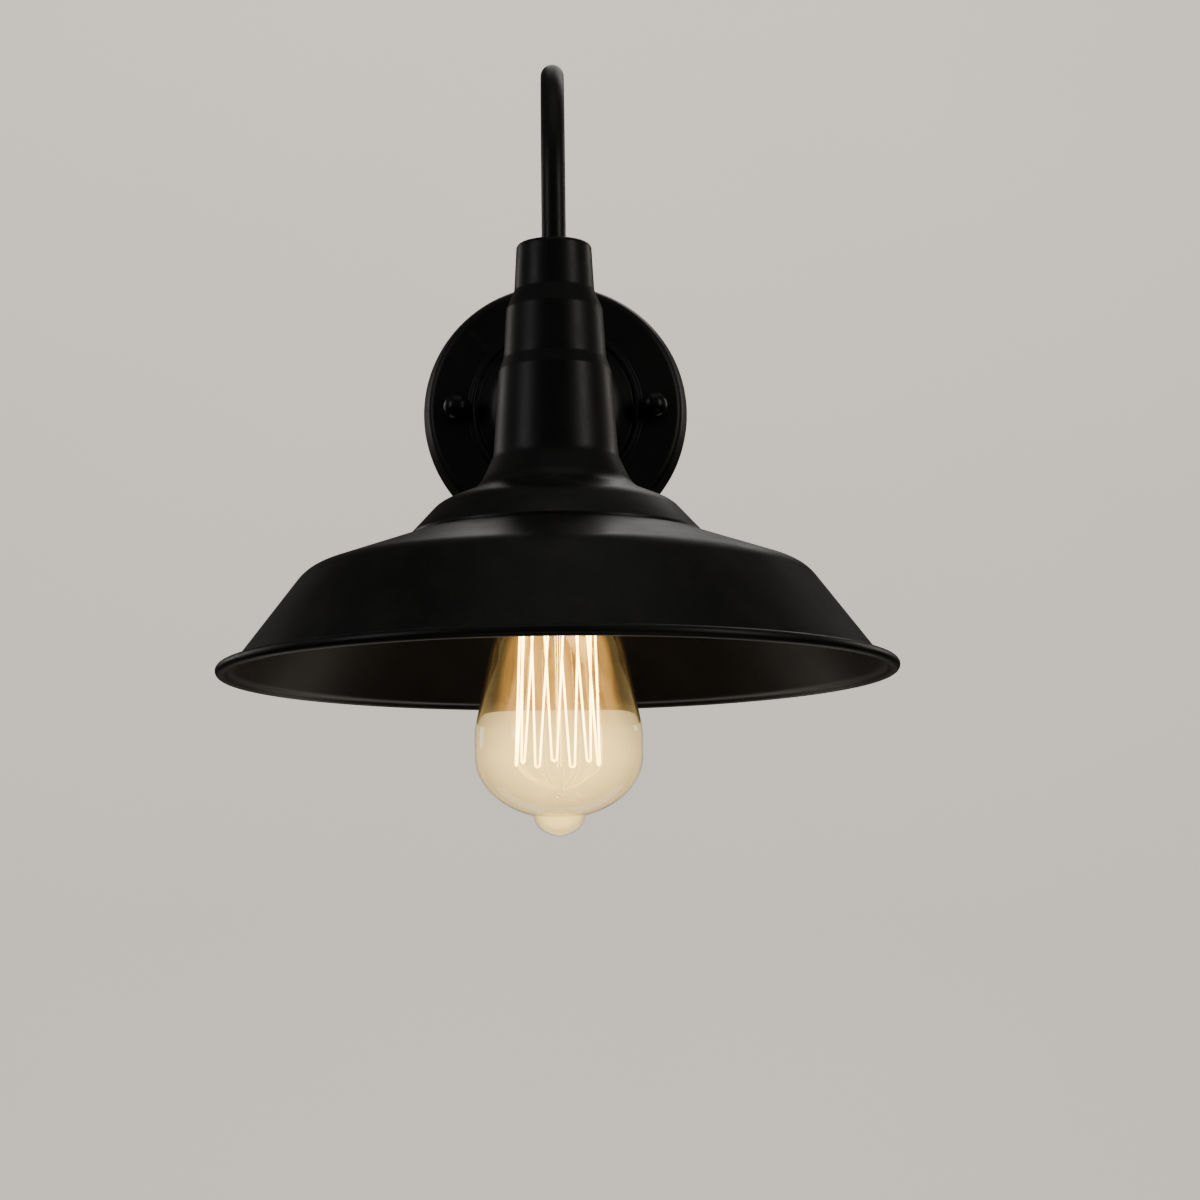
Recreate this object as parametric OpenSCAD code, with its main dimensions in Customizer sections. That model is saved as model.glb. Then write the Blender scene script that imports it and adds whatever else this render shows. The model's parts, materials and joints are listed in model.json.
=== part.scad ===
// Gooseneck wall lantern: a round wall plate, a bent tube arm, a stepped neck cup and a wide spun shade,
// with a porcelain lampholder and a pear-shaped filament bulb.
// Millimetres. X is to the right, +Y runs into the wall, +Z is up.
// The origin is the centre of the wall plate, on the wall's surface.

/* [Arm] */
// Distance from the wall to the axis of the shade
reach = 200; // [175:1:245]
// Highest point of the arm above the centre of the wall plate
arm_top = 118.3; // [110:0.5:150]
// Bend radius of the arch, to the middle of the tube
arch_r = 67; // [55:1:78]
// Bend radius where the arm leaves the wall plate
heel_r = 32; // [26:1:38]
// Outer diameter of the arm tube
tube_d = 9.5; // [9:0.1:12]
// Diameter of the threaded end of the arm tube
spigot_d = 8; // [7.6:0.1:8.6]
// Bore of the arm tube, which carries the wires
tube_bore = 6; // [5.6:0.1:6.4]

/* [Wall plate] */
// Diameter of the wall plate at the wall
plate_d = 120; // [112:1:150]
// How far the flat of the wall plate stands from the wall
plate_depth = 15; // [14:0.5:20]
// How far the sides of the wall plate lean in
plate_lean = 3; // [1:0.5:6]
// Sheet thickness of the wall plate
plate_t = 1.2; // [0.8:0.1:1.5]
// Half the width of the raised ring round the middle
ring_half = 2; // [1.6:0.1:2.4]
// Height of the raised ring
ring_h = 1.6; // [1.2:0.1:2]
// Radius of the flat top of the middle dome
hub_r = 14; // [13:0.5:16]
// Height of the middle dome above the flat
dome_rise = 11; // [9:0.5:15]
// Thickness of the foam gasket
gasket_t = 2; // [1:0.5:4]
// Width of the foam gasket
gasket_w = 6.5; // [5:0.5:7]

/* [Mounting] */
// Distance between the two studs, 3.5 inches
stud_gap = 88.9; // [84:0.1:92]
// Diameter of the studs, number 8-32
stud_d = 4.17; // [3.5:0.01:4.5]
// Distance between the two slots that take the wall box screws, 2.75 inches
slot_gap = 69.85; // [66:0.05:72]
// Width of each slot
slot_w = 4.8; // [4.4:0.1:5.2]
// End-to-end length of each slot
slot_l = 10; // [8:0.5:11]
// Length of the mounting bar
bar_l = 104; // [98:0.5:106]
// Width of the mounting bar
bar_w = 20; // [16:1:24]
// Thickness of the mounting bar
bar_t = 2; // [1.5:0.1:3]
// Diameter of the ball nuts
ball_d = 12; // [10:0.5:13]
// Length of stud that each ball nut holds
ball_grip = 8; // [6:0.5:9]

/* [Neck] */
// Height of the neck's top above the centre of the wall plate
neck_top = 27; // [20:0.5:36]
// Sheet thickness of the neck cup
neck_t = 1.2; // [0.8:0.1:1.5]
// Radius of the top tier at its top
tier_1_top_r = 14.6; // [13.9:0.1:16]
// Radius of the top tier at its foot
tier_1_foot_r = 15.6; // [15:0.1:17]
// Radius of the middle tier at its top
tier_2_top_r = 18.7; // [18:0.1:20]
// Radius of the middle tier at its foot
tier_2_foot_r = 19.9; // [19:0.1:21.5]
// Radius of the lower tier at its top
tier_3_top_r = 21.8; // [21.5:0.1:24]
// Radius of the lower tier at its foot
tier_3_foot_r = 24.1; // [23.9:0.1:28]
// Height of the top tier
tier_1_h = 18.5; // [15:0.5:24]
// Height of the middle tier
tier_2_h = 19.5; // [15:0.5:24]
// Height of the lower tier
tier_3_h = 33.5; // [30:0.5:42]
// Radius of the seam where the neck's dome meets the shade
seam_r = 56; // [54:0.5:64]

/* [Shade] */
// Overall diameter of the shade
shade_d = 260; // [240:1:330]
// Height of the shade from its crown to the middle of its rim
shade_h = 54; // [46:1:68]
// Sheet thickness of the shade
shade_t = 1.2; // [0.8:0.1:1.6]
// Height of the gently sloping top
slope_h = 16.3; // [12:0.1:20]
// Width of the steep skirt
skirt_w = 27.7; // [22:0.1:34]
// Radius of the rolled rim
bead_r = 2.15; // [1.5:0.05:2.6]

/* [Lampholder] */
// Diameter of the porcelain body
holder_d = 42; // [41.6:0.1:42.6]
// Height of the porcelain body
holder_h = 48; // [44:0.5:52]
// Distance between the two long screws
holder_screw_gap = 35.2; // [34.8:0.1:35.6]
// Diameter of the long screws
holder_screw_d = 3; // [2.5:0.1:3.2]
// Diameter of the circle of the shade screws
shade_screw_pcd = 76; // [72:1:80]

/* [Bulb] */
// Largest diameter of the bulb
bulb_d = 64; // [54:1:80]
// Overall length of the bulb
bulb_l = 142; // [128:1:172]
// Outer diameter of the bulb's screw cap
cap_d = 26; // [25.4:0.1:26.2]
// Length of the screw cap with its contact
cap_l = 27.3; // [25:0.1:28]
// Thickness of the bulb's glass
glass_t = 0.8; // [0.5:0.1:1.2]
// Number of upright filament pairs
filament_pairs = 7; // [4:1:9]

/* [Hidden] */

// Gaps: a thread or a close bore, a through hole, and free running space
fit_gap = 0.05;
hole_gap = 0.3;
free_gap = 0.35;
eps = 0.01;

// Finishes
black = "#1c1c1d";
zinc = "#b9bcc0";
brass = "#c8a24a";
porcelain = "#efece2";

// Wall plate, as distance from the wall
face_d = plate_depth;
hub_d = face_d + dome_rise;
stack_d = hub_d - plate_t;
washer_t = 0.8;
lug_t = 0.8;
nut_h = 4;
nut_af = 13;
spigot_rear_l = plate_t + washer_t + lug_t + nut_h + 1.7;

// Arm
tube_r = tube_d / 2;
spigot_r = spigot_d / 2;
rear_leg_y = reach - 2 * arch_r;
arch_z = arm_top - tube_r - arch_r;
stub_d = rear_leg_y - heel_r;

// Neck, from the top down
cap_corner_r = 2;
step_1_h = 7.5;
step_2_h = 5;
flare_h = 12.5;
brow_h = 6.5;
dome_h = 12.5;
flange_in_r = shade_screw_pcd / 2 - 8;
tier_1_foot_z = neck_top - tier_1_h;
tier_2_top_z = tier_1_foot_z - step_1_h;
tier_2_foot_z = tier_2_top_z - tier_2_h;
tier_3_top_z = tier_2_foot_z - step_2_h;
tier_3_foot_z = tier_3_top_z - tier_3_h;
flare_z = tier_3_foot_z - flare_h;
brow_z = flare_z - brow_h;
seam_z = brow_z - dome_h;
seat_gap = 0.02;

// Shade: a flat crown under the neck's flange, a gentle slope and a steep skirt
bead_ring_r = shade_d / 2 - bead_r;
crown_r = seam_r - 6;
shoulder_r = bead_ring_r - 3.65 - skirt_w;
slope_per_mm = slope_h / (shoulder_r - crown_r);
crown_z = seam_z + (seam_r - crown_r) * slope_per_mm;
rim_z = crown_z - shade_h;
foot_r = shoulder_r + skirt_w;
foot_z = rim_z + 1.2;
crown_hole_r = holder_d / 2 + 0.6;

// Lampholder
holder_r = holder_d / 2;
holder_low = crown_z - shade_t - 0.8;
holder_top = holder_low + holder_h;
shell_t = 0.45;
shell_in_r = cap_d / 2 + free_gap;
shell_r = shell_in_r + shell_t;
screw_head_r = 2.8;
screw_head_h = 2.4;
sink_depth = 3.5;
strap_t = 1.5;
strap_w = 9;
strap_half = sqrt(pow(tier_1_top_r - cap_corner_r, 2) - pow(strap_w / 2, 2)) - 0.1;
foot_half = holder_d / 2 - 0.5;
web_z = neck_top - neck_t;
spigot_front_l = neck_t + strap_t + washer_t + nut_h + 1.5;

// Terminal blocks on the porcelain
block_w = 7;
block_deep = 6;
block_h = 6;
block_y = 11;
wire_d = 2.2;
wire_gap = 0.15;
wire_x = wire_d / 2 + wire_gap;

// Bulb
bulb_r = bulb_d / 2;
cap_r = cap_d / 2;
cap_t = 0.5;
neck_in_r = cap_r - cap_t;
bulb_top = holder_low + cap_l;
contact_h = 1.5;
contact_r = 5;
insulator_h = 3.8;
widest = bulb_top - 0.784 * bulb_l;
tip_z = bulb_top - bulb_l;
nub_h = 6.8;
belly_h = widest - tip_z - nub_h;
support_low_r = bulb_r * 0.52;
support_low_z = widest - 2.3;
support_high_r = bulb_r * 0.43;
support_high_z = bulb_top - cap_l - 0.11 * bulb_l;
button_z = widest - 14.2;
button_r = 1.8;
rod_r = 1.5;
bead_r_high = 2.2;
stem_low = support_high_z + 9;
filament_r = 0.4;
bend_r = 1;
hook_r = 0.25;
lead_r = 0.35;
hook_gap = 0.1;

// Mounting hardware, as distance from the wall
stud_r = stud_d / 2;
stud_x = stud_gap / 2;
ball_washer_t = 1;
ball_foot_h = 2;
ball_foot_r = 4.2;
ball_washer_r = ball_foot_r + 0.4;
ball_seat = face_d + ball_washer_t;
ball_mid = ball_seat + ball_foot_h + sqrt(pow(ball_d / 2, 2) - pow(ball_foot_r, 2));
stud_end = ball_seat + ball_grip;
lock_nut_af = 8.7;
lock_nut_h = 3.2;
// The raised ring runs just inside the two washers
ring_r = stud_x - ball_washer_r - ring_half - free_gap;
ground_x = 20;
ground_shank_r = 2.4;
ground_wire_d = 2;

// ---- Outlines and routes ----

function unit(v) = v / norm(v);

// One corner of an outline, at b between a and c, rounded to radius r in n steps
function corner(a, b, c, r, n) = r == 0 ? [b] :
    let (u = unit(a - b), v = unit(c - b), half = acos(u * v) / 2,
         centre = b + unit(u + v) * r / sin(half),
         from = b + u * r / tan(half) - centre, to = b + v * r / tan(half) - centre,
         start = atan2(from.y, from.x),
         turn = (atan2(to.y, to.x) - start + 540) % 360 - 180)
    [for (k = [0 : n]) centre + r * [cos(start + turn * k / n), sin(start + turn * k / n)]];

// An outline through points p, with a radius for each corner between its ends
function rounded(p, radii, n = 6) =
    [p[0], for (i = [1 : len(p) - 2]) each corner(p[i - 1], p[i], p[i + 1], radii[i - 1], n),
     p[len(p) - 1]];

// The direction to the left of the line from a to b
function left_of(a, b) = let (d = unit(b - a)) [-d.y, d.x];

// An outline moved t to its left, at a constant distance
function beside(p, t) = let (last = len(p) - 1)
    [for (i = [0 : last])
        let (m = left_of(p[max(i - 1, 0)], p[max(i, 1)])
               + left_of(p[min(i, last - 1)], p[min(i + 1, last)]))
        p[i] + t * 2 * m / (m * m)];

// The corner radii of the inner face of a wall of thickness t, which lies to the right of its outer face
function wall_radii(p, radii, t) = [for (i = [1 : len(p) - 2])
    let (bend = cross(p[i] - p[i - 1], p[i + 1] - p[i])) max(radii[i - 1] + (bend > 0 ? t : -t), 0)];

// The inner face of a wall of thickness t whose outer face is rounded(p, radii)
function wall_inside(p, radii, t) = rounded(beside(p, -t), wall_radii(p, radii, t));

function backwards(p) = [for (i = [len(p) - 1 : -1 : 0]) p[i]];

// Points on a circle of radius r about c, from angle a to angle b
function arc(c, r, a, b, n) = [for (k = [0 : n]) let (t = a + (b - a) * k / n) c + r * [cos(t), sin(t)]];

// A smooth curve through points p, with n steps between each pair
function through(p, n) = let (last = len(p) - 1)
    [for (i = [0 : last - 1]) for (k = [0 : n - 1])
        let (t = k / n, a = p[max(i - 1, 0)], b = p[i], c = p[i + 1], d = p[min(i + 2, last)])
        0.5 * (2 * b + (c - a) * t + (2 * a - 5 * b + 4 * c - d) * t * t
               + (3 * b - a - 3 * c + d) * t * t * t),
     p[last]];

// A solid round cord of diameter d along the points p, which never run straight along X,
// or straight away from the Z axis if it goes round it
module cord(p, d, sides = 8, round_z = false) {
    last = len(p) - 1;
    points = [for (i = [0 : last]) let (t = unit(p[min(i + 1, last)] - p[max(i - 1, 0)]),
                                        side = round_z ? [p[i].x, p[i].y, 0] : [1, 0, 0],
                                        u = unit(cross(t, side)), v = cross(t, u))
        for (k = [0 : sides - 1]) p[i] + d / 2 * (u * cos(360 * k / sides) + v * sin(360 * k / sides))];
    skin = [for (i = [0 : last - 1]) for (k = [0 : sides - 1]) let (j = (k + 1) % sides)
        [i * sides + k, (i + 1) * sides + k, (i + 1) * sides + j, i * sides + j]];
    ends = [[for (k = [0 : sides - 1]) k], [for (k = [sides - 1 : -1 : 0]) last * sides + k]];
    polyhedron(points, concat(skin, ends), convexity = 8);
}

// Turned about the line that runs out of the wall: x is the radius, y the distance from the wall
module turned_from_wall(outline) { rotate([90, 0, 0]) rotate_extrude($fn = 96) polygon(outline); }

// Turned about the shade's axis: x is the radius, y the height
module turned_about_shade(outline) {
    translate([0, -reach, 0]) rotate_extrude($fn = 128) polygon(outline);
}

// A cylinder out of the wall at x, z, from distance a to distance b
module post(x, z, r, a, b, sides = 48) {
    translate([x, -a, z]) rotate([90, 0, 0]) cylinder(h = b - a, r = r, $fn = sides);
}

module at_studs() { for (x = [-stud_x, stud_x]) translate([x, 0, 0]) children(); }

// A hexagon nut that stands on z = 0
module nut(af, h, bore_r) {
    difference() {
        cylinder(h = h, r = af / 2 / cos(30), $fn = 6);
        translate([0, 0, -1]) cylinder(h = h + 2, r = bore_r, $fn = 48);
    }
}

// A toothed washer that stands on z = 0
module star_washer(r, bore_r, t) {
    teeth = 10;
    difference() {
        cylinder(h = t, r = r, $fn = 48);
        translate([0, 0, -1]) cylinder(h = t + 2, r = bore_r, $fn = 48);
        for (k = [0 : teeth - 1]) rotate(360 * k / teeth)
            translate([r - 1.1, -0.45, -1]) cube([2, 0.9, t + 2]);
    }
}

// ---- Mounting ----

module wall_gasket() {
    color("#3a3a3c") difference() {
        post(0, 0, plate_d / 2, 0, gasket_t, 96);
        post(0, 0, plate_d / 2 - gasket_w, -1, gasket_t + 1, 96);
    }
}

module mounting_bar() {
    color(zinc) difference() {
        union() {
            translate([-bar_l / 2 + bar_w / 2, -bar_t, -bar_w / 2]) cube([bar_l - bar_w, bar_t, bar_w]);
            for (side = [-1, 1]) post(side * (bar_l - bar_w) / 2, 0, bar_w / 2, 0, bar_t, 64);
        }
        at_studs() post(0, 0, stud_r + fit_gap, -1, bar_t + 1);
        for (side = [-1, 1]) translate([side * slot_gap / 2, 0, 0]) {
            for (end = [-1, 1]) post(end * (slot_l - slot_w) / 2, 0, slot_w / 2, -1, bar_t + 1);
            translate([-(slot_l - slot_w) / 2, -bar_t - 1, -slot_w / 2])
                cube([slot_l - slot_w, bar_t + 2, slot_w]);
        }
        post(0, 0, 5.2, -1, bar_t + 1);
        post(ground_x, 0, ground_shank_r + fit_gap, -1, bar_t + 1);
    }
}

module mounting_studs() {
    color(zinc) at_studs() post(0, 0, stud_r, 0, stud_end);
}

module stud_lock_nuts() {
    color(zinc) at_studs() translate([0, -bar_t, 0]) rotate([90, 0, 0])
        nut(lock_nut_af, lock_nut_h, stud_r + fit_gap);
}

// The green screw that earths the bar, with its head clear of the wire that it clamps
module ground_screw() {
    head_d = bar_t + ground_wire_d + 0.15;
    color("#2f8f4e") difference() {
        union() {
            post(ground_x, 0, ground_shank_r, 0, head_d + eps);
            post(ground_x, 0, 4.4, head_d, head_d + 2.4);
        }
        translate([ground_x - 5, -head_d - 3, -0.5]) cube([10, 1.8, 1]);
    }
}

// A ring terminal under the rear lock nut, with its barrel pointing down and to the right
lug_turn = 60;
lug_barrel_from = 8.5;
lug_barrel_to = 14;
lug_d = stack_d - washer_t;

module ground_lug() {
    color(brass) rotate([0, lug_turn, 0]) {
        difference() {
            union() {
                post(0, 0, 7.4, lug_d - lug_t, lug_d);
                translate([5, -lug_d, -2]) cube([lug_barrel_from - 4.5, lug_t, 4]);
            }
            post(0, 0, spigot_r + fit_gap, lug_d - lug_t - 1, lug_d + 1);
        }
        translate([lug_barrel_from, -lug_d + 1.6, 0]) rotate([0, 90, 0]) difference() {
            cylinder(h = lug_barrel_to - lug_barrel_from, r = 1.6, $fn = 32);
            translate([0, 0, 0.5]) cylinder(h = 20, r = ground_wire_d / 2 + fit_gap, $fn = 32);
        }
    }
}

// From the lug to a hook round the ground screw
module ground_wire() {
    out = [cos(lug_turn), 0, -sin(lug_turn)];
    start = [0, -lug_d + 1.6, 0];
    hook_ring = ground_shank_r + ground_wire_d / 2 + 0.2;
    hook = [for (k = [0 : 9]) let (a = -110 + 215 * k / 9)
        [ground_x + hook_ring * cos(a), -bar_t - ground_wire_d / 2 - 0.1, hook_ring * sin(a)]];
    color("#3f9a55") cord(concat(
        through([start + out * (lug_barrel_from + 1), start + out * lug_barrel_to,
                 start + out * (lug_barrel_to + 2), [12, -hub_d + 11, -15.5], [16, -7, -12.5],
                 [18.4, -3.3, -7], hook[0]], 3),
        [for (k = [1 : 9]) hook[k]]), ground_wire_d - 2 * eps);
}

// ---- Wall plate ----

plate_corners = [
    [spigot_r + hole_gap, hub_d], [hub_r, hub_d], [0.74 * ring_r, hub_d - 0.32 * dome_rise],
    [ring_r - ring_half, face_d], [ring_r - 0.6, face_d + ring_h], [ring_r + 0.6, face_d + ring_h],
    [ring_r + ring_half, face_d], [plate_d / 2 - plate_lean, face_d], [plate_d / 2, face_d - 10.5],
    [plate_d / 2, gasket_t]];
plate_radii = [6, 13, 1, 1, 1, 1, 3.6, 4];

module backplate() {
    color(black) difference() {
        turned_from_wall(concat(rounded(plate_corners, plate_radii),
                                backwards(wall_inside(plate_corners, plate_radii, plate_t))));
        at_studs() post(0, 0, stud_r + hole_gap, 0, face_d + 1);
    }
}

// ---- Arm ----

module arm_collar() {
    in_r = tube_r + fit_gap;
    color(black) turned_from_wall(concat(
        rounded([[in_r, hub_d], [hub_r - 1, hub_d], [hub_r - 1, hub_d + 3.5], [tube_r + 2.2, hub_d + 6],
                 [in_r, hub_d + 6]], [0, 2, 1.2])));
}

// The bore or the skin of the arm: a stub, the heel bend, the rear leg, the arch and the front leg
module arm_run(r) {
    post(0, 0, r, hub_d, stub_d, 64);
    translate([0, -stub_d, heel_r]) rotate([-90, 0, 0]) rotate([0, 90, 0])
        rotate_extrude(angle = 90, $fn = 96) translate([heel_r, 0]) circle(r = r, $fn = 64);
    translate([0, -rear_leg_y, heel_r]) cylinder(h = arch_z - heel_r, r = r, $fn = 64);
    translate([0, -rear_leg_y - arch_r, arch_z]) rotate([0, -90, 0]) rotate([0, 0, -90])
        rotate_extrude(angle = 180, $fn = 128) translate([arch_r, 0]) circle(r = r, $fn = 64);
    translate([0, -reach, neck_top]) cylinder(h = arch_z - neck_top, r = r, $fn = 64);
}

module arm_tube() {
    color(black) difference() {
        union() {
            arm_run(tube_r);
            post(0, 0, spigot_r, hub_d - spigot_rear_l, hub_d + 1, 64);
            translate([0, -reach, neck_top - spigot_front_l])
                cylinder(h = spigot_front_l + 1, r = spigot_r, $fn = 64);
        }
        arm_run(tube_bore / 2);
        post(0, 0, tube_bore / 2, hub_d - spigot_rear_l - 1, hub_d + 1, 64);
        translate([0, -reach, neck_top - spigot_front_l - 1])
            cylinder(h = spigot_front_l + 2, r = tube_bore / 2, $fn = 64);
    }
}

// Places a part, which stands on z = 0, against the rear wall plate or the strap in the neck
module at_arm_ends(rear_d, front_z) {
    translate([0, -rear_d, 0]) rotate([-90, 0, 0]) children();
    translate([0, -reach, front_z]) mirror([0, 0, 1]) children();
}

module arm_star_washers() {
    color(zinc) at_arm_ends(stack_d, web_z - strap_t) star_washer(7, spigot_r + fit_gap, washer_t);
}

module arm_lock_nuts() {
    color(zinc) at_arm_ends(lug_d - lug_t, web_z - strap_t - washer_t)
        nut(nut_af, nut_h, spigot_r + fit_gap);
}

// ---- Wiring ----

// Where one wire of the pair lies in the tube: side is 1 for live and -1 for neutral
function tube_route(side) = concat(
    [for (k = [0 : 5]) let (a = 90 * k / 5)
        [side * wire_x, -stub_d - heel_r * sin(a), heel_r - heel_r * cos(a)]],
    [for (k = [0 : 17]) let (a = 180 * k / 17)
        [side * wire_x, -rear_leg_y - arch_r + arch_r * cos(a), arch_z + arch_r * sin(a)]]);

function pigtail(side) = through(
    [[side * 16, -8, 22], [side * 16, -8, 18.5], [side * 16, -8, 15], [side * 13.5, -8, 10],
     [side * 8, -9, 5.5], [side * 2.6, -13, 2], [side * wire_x, -hub_d + spigot_rear_l + 1, 0],
     [side * wire_x, -hub_d, 0],
     [side * wire_x, -stub_d, 0]], 3);

function holder_tail(side) = through(
    [[side * wire_x, -reach, neck_top], [side * wire_x, -reach, neck_top - spigot_front_l - 2],
     [side * 0.9, -reach - side * 3, (neck_top - spigot_front_l + holder_top) / 2 + 4],
     [side * 0.3, -reach - side * 9, holder_top + block_h + 9],
     [0, -reach - side * block_y, holder_top + block_h + 3],
     [0, -reach - side * block_y, holder_top + block_h],
     [0, -reach - side * block_y, holder_top + block_h - 3.5]], 3);

module wire(side) {
    cord(concat(pigtail(side), [for (k = [1 : 23]) tube_route(side)[k]], holder_tail(side)), wire_d);
}

module live_wire() { color("#20201f") wire(1); }

module neutral_wire() { color("#e8e6df") wire(-1); }

module wire_nuts() {
    color("#d9772a") for (side = [-1, 1]) translate([side * 16, -8, 17]) difference() {
        union() {
            cylinder(h = 7, r = 5, $fn = 48);
            translate([0, 0, 7 - eps]) cylinder(h = 12, r1 = 4.6, r2 = 2.8, $fn = 48);
            for (wing = [-1, 1]) translate([wing * 4.6 - 0.8, -0.8, 1]) cube([1.6, 1.6, 9]);
        }
        translate([0, 0, -1]) cylinder(h = 7, r = wire_d / 2 + 0.1, $fn = 32);
    }
}

// ---- Neck ----

neck_corners = [
    [spigot_r + hole_gap / 2, neck_top], [tier_1_top_r, neck_top], [tier_1_foot_r, tier_1_foot_z],
    [tier_2_top_r, tier_2_top_z], [tier_2_foot_r, tier_2_foot_z], [tier_3_top_r, tier_3_top_z],
    [tier_3_foot_r, tier_3_foot_z], [tier_3_foot_r + 5.9, flare_z], [seam_r - 10.5, brow_z],
    [seam_r, seam_z]];
neck_radii = [cap_corner_r, 3, 3, 2, 2, 10, 12, 18];

// The dome's edge turns in over the slope of the shade and along its crown, as a screw flange
flange_z = crown_z + seat_gap;
neck_flange = [[crown_r, flange_z], [flange_in_r, flange_z], [flange_in_r, flange_z + neck_t],
               [crown_r, flange_z + neck_t]];

module neck_cup() {
    inside = [for (p = wall_inside(neck_corners, neck_radii, neck_t)) if (p.y > flange_z + neck_t + 1) p];
    color(black) difference() {
        turned_about_shade(concat(rounded(neck_corners, neck_radii), neck_flange, backwards(inside)));
        at_shade_screws() translate([0, 0, crown_z - 1]) cylinder(h = 4, r = 2 + hole_gap, $fn = 48);
    }
}

module at_shade_screws() {
    translate([0, -reach, 0]) for (k = [0 : 2]) rotate(90 + 120 * k)
        translate([shade_screw_pcd / 2, 0, 0]) children();
}

module shade_screws() {
    head_z = crown_z - shade_t;
    color("#262627") at_shade_screws() difference() {
        union() {
            translate([0, 0, head_z - eps]) cylinder(h = shade_t + neck_t + 4.6, r = 2, $fn = 48);
            translate([0, 0, head_z - 2.2]) cylinder(h = 2.2, r1 = 2.6, r2 = 3.6, $fn = 48);
        }
        for (turn = [0, 90]) rotate(turn) translate([-2, -0.4, head_z - 3]) cube([4, 0.8, 2]);
    }
}

module shade_nuts() {
    color(zinc) at_shade_screws() translate([0, 0, flange_z + neck_t]) nut(7, 3.2, 2 + fit_gap);
}

// ---- Shade ----

shade_corners = [
    [crown_hole_r, crown_z], [crown_r, crown_z], [shoulder_r, crown_z - slope_h], [foot_r, foot_z],
    [bead_ring_r - bead_r * cos(18), rim_z + bead_r * sin(18)]];
shade_radii = [4, 16, 2.2];

module shade() {
    bead = arc([bead_ring_r, rim_z], bead_r, 150, -150, 15);
    color(black) difference() {
        turned_about_shade(concat(rounded(shade_corners, shade_radii), bead,
                                  backwards(wall_inside(shade_corners, shade_radii, shade_t))));
        at_shade_screws() translate([0, 0, crown_z - shade_t - 1])
            cylinder(h = 4, r = 2 + hole_gap, $fn = 48);
    }
}

// ---- Lampholder ----

module about_holder() { translate([0, -reach, 0]) children(); }

module at_holder_screws() {
    about_holder() for (side = [-1, 1]) translate([side * holder_screw_gap / 2, 0, 0]) children();
}

// A U strap that hangs from the arm's end and carries the porcelain on its two feet
module lampholder_bracket() {
    leg_h = web_z - holder_top;
    color(zinc) difference() {
        about_holder() {
            translate([-strap_half, -strap_w / 2, web_z - strap_t])
                cube([2 * strap_half, strap_w, strap_t]);
            for (side = [0, 1]) mirror([side, 0, 0]) {
                translate([strap_half - strap_t, -strap_w / 2, holder_top]) cube([strap_t, strap_w, leg_h]);
                translate([strap_half - strap_t, -strap_w / 2, holder_top])
                    cube([foot_half - strap_half + strap_t, strap_w, strap_t]);
            }
        }
        about_holder() translate([0, 0, web_z - strap_t - 1])
            cylinder(h = strap_t + 2, r = spigot_r + hole_gap, $fn = 48);
        at_holder_screws() translate([0, 0, holder_top - 1])
            cylinder(h = strap_t + 2, r = holder_screw_d / 2 + fit_gap, $fn = 32);
    }
}

module lampholder_body() {
    cavity_top = bulb_top + 3.2;
    color(porcelain) difference() {
        about_holder() rotate_extrude($fn = 96) polygon(rounded(
            [[0, holder_low], [holder_r, holder_low], [holder_r, holder_top], [0, holder_top]], [1, 2]));
        about_holder() {
            translate([0, 0, holder_low - 1])
                cylinder(h = cavity_top - holder_low + 1, r = shell_r, $fn = 96);
            translate([0, 0, holder_low - eps])
                cylinder(h = 0.8, r1 = shell_r + 0.6, r2 = shell_r, $fn = 96);
        }
        at_holder_screws() {
            translate([0, 0, holder_low - 1])
                cylinder(h = holder_h + 2, r = holder_screw_d / 2 + 0.15, $fn = 32);
            translate([0, 0, holder_low - 1])
                cylinder(h = sink_depth + 1, r = screw_head_r + 0.15, $fn = 48);
        }
    }
}

module lampholder_screws() {
    head_z = holder_low + sink_depth;
    color(zinc) at_holder_screws() difference() {
        union() {
            translate([0, 0, head_z - eps])
                cylinder(h = holder_top + 3 - head_z, r = holder_screw_d / 2, $fn = 32);
            translate([0, 0, head_z - screw_head_h]) cylinder(h = screw_head_h, r = screw_head_r, $fn = 48);
        }
        translate([-3, -0.4, head_z - screw_head_h - 1]) cube([6, 0.8, 2]);
    }
}

// The threaded sleeve that takes the bulb's cap, with a lip round its top
module lampholder_shell() {
    top = bulb_top + 3.2;
    color(brass) about_holder() rotate_extrude($fn = 96) polygon(
        [[shell_in_r, holder_low + 1.5], [shell_r, holder_low + 1.5], [shell_r, top], [8.5, top],
         [8.5, top - shell_t], [shell_in_r, top - shell_t]]);
}

module lampholder_contact() {
    top = bulb_top + 3.2;
    color(brass) about_holder() {
        translate([0, 0, bulb_top + 0.3]) cylinder(h = 1.2, r = 4, $fn = 48);
        translate([0, 0, bulb_top + 1]) cylinder(h = top - bulb_top - 1, r = 2.4, $fn = 48);
    }
}

module terminal_blocks() {
    color(brass) about_holder() for (side = [-1, 1]) translate([0, side * block_y, holder_top])
        difference() {
        translate([-block_w / 2, -block_deep / 2, 0]) cube([block_w, block_deep, block_h]);
        translate([0, 0, block_h - 4]) cylinder(h = 5, r = wire_d / 2 + 0.1, $fn = 32);
        translate([0, 0, block_h / 2]) rotate([0, 90, 0]) cylinder(h = 5, r = 1 + fit_gap, $fn = 32);
    }
}

// Each clamp screw comes in from the side and ends short of the wire
module terminal_screws() {
    color(zinc) about_holder() for (side = [-1, 1])
        translate([wire_d / 2 + 0.2, side * block_y, holder_top + block_h / 2]) rotate([0, 90, 0]) {
            cylinder(h = block_w / 2 - wire_d / 2 - 0.2 + eps, r = 1, $fn = 32);
            translate([0, 0, block_w / 2 - wire_d / 2 - 0.2]) cylinder(h = 1.6, r = 2, $fn = 32);
        }
}

// ---- Ball nuts ----

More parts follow.
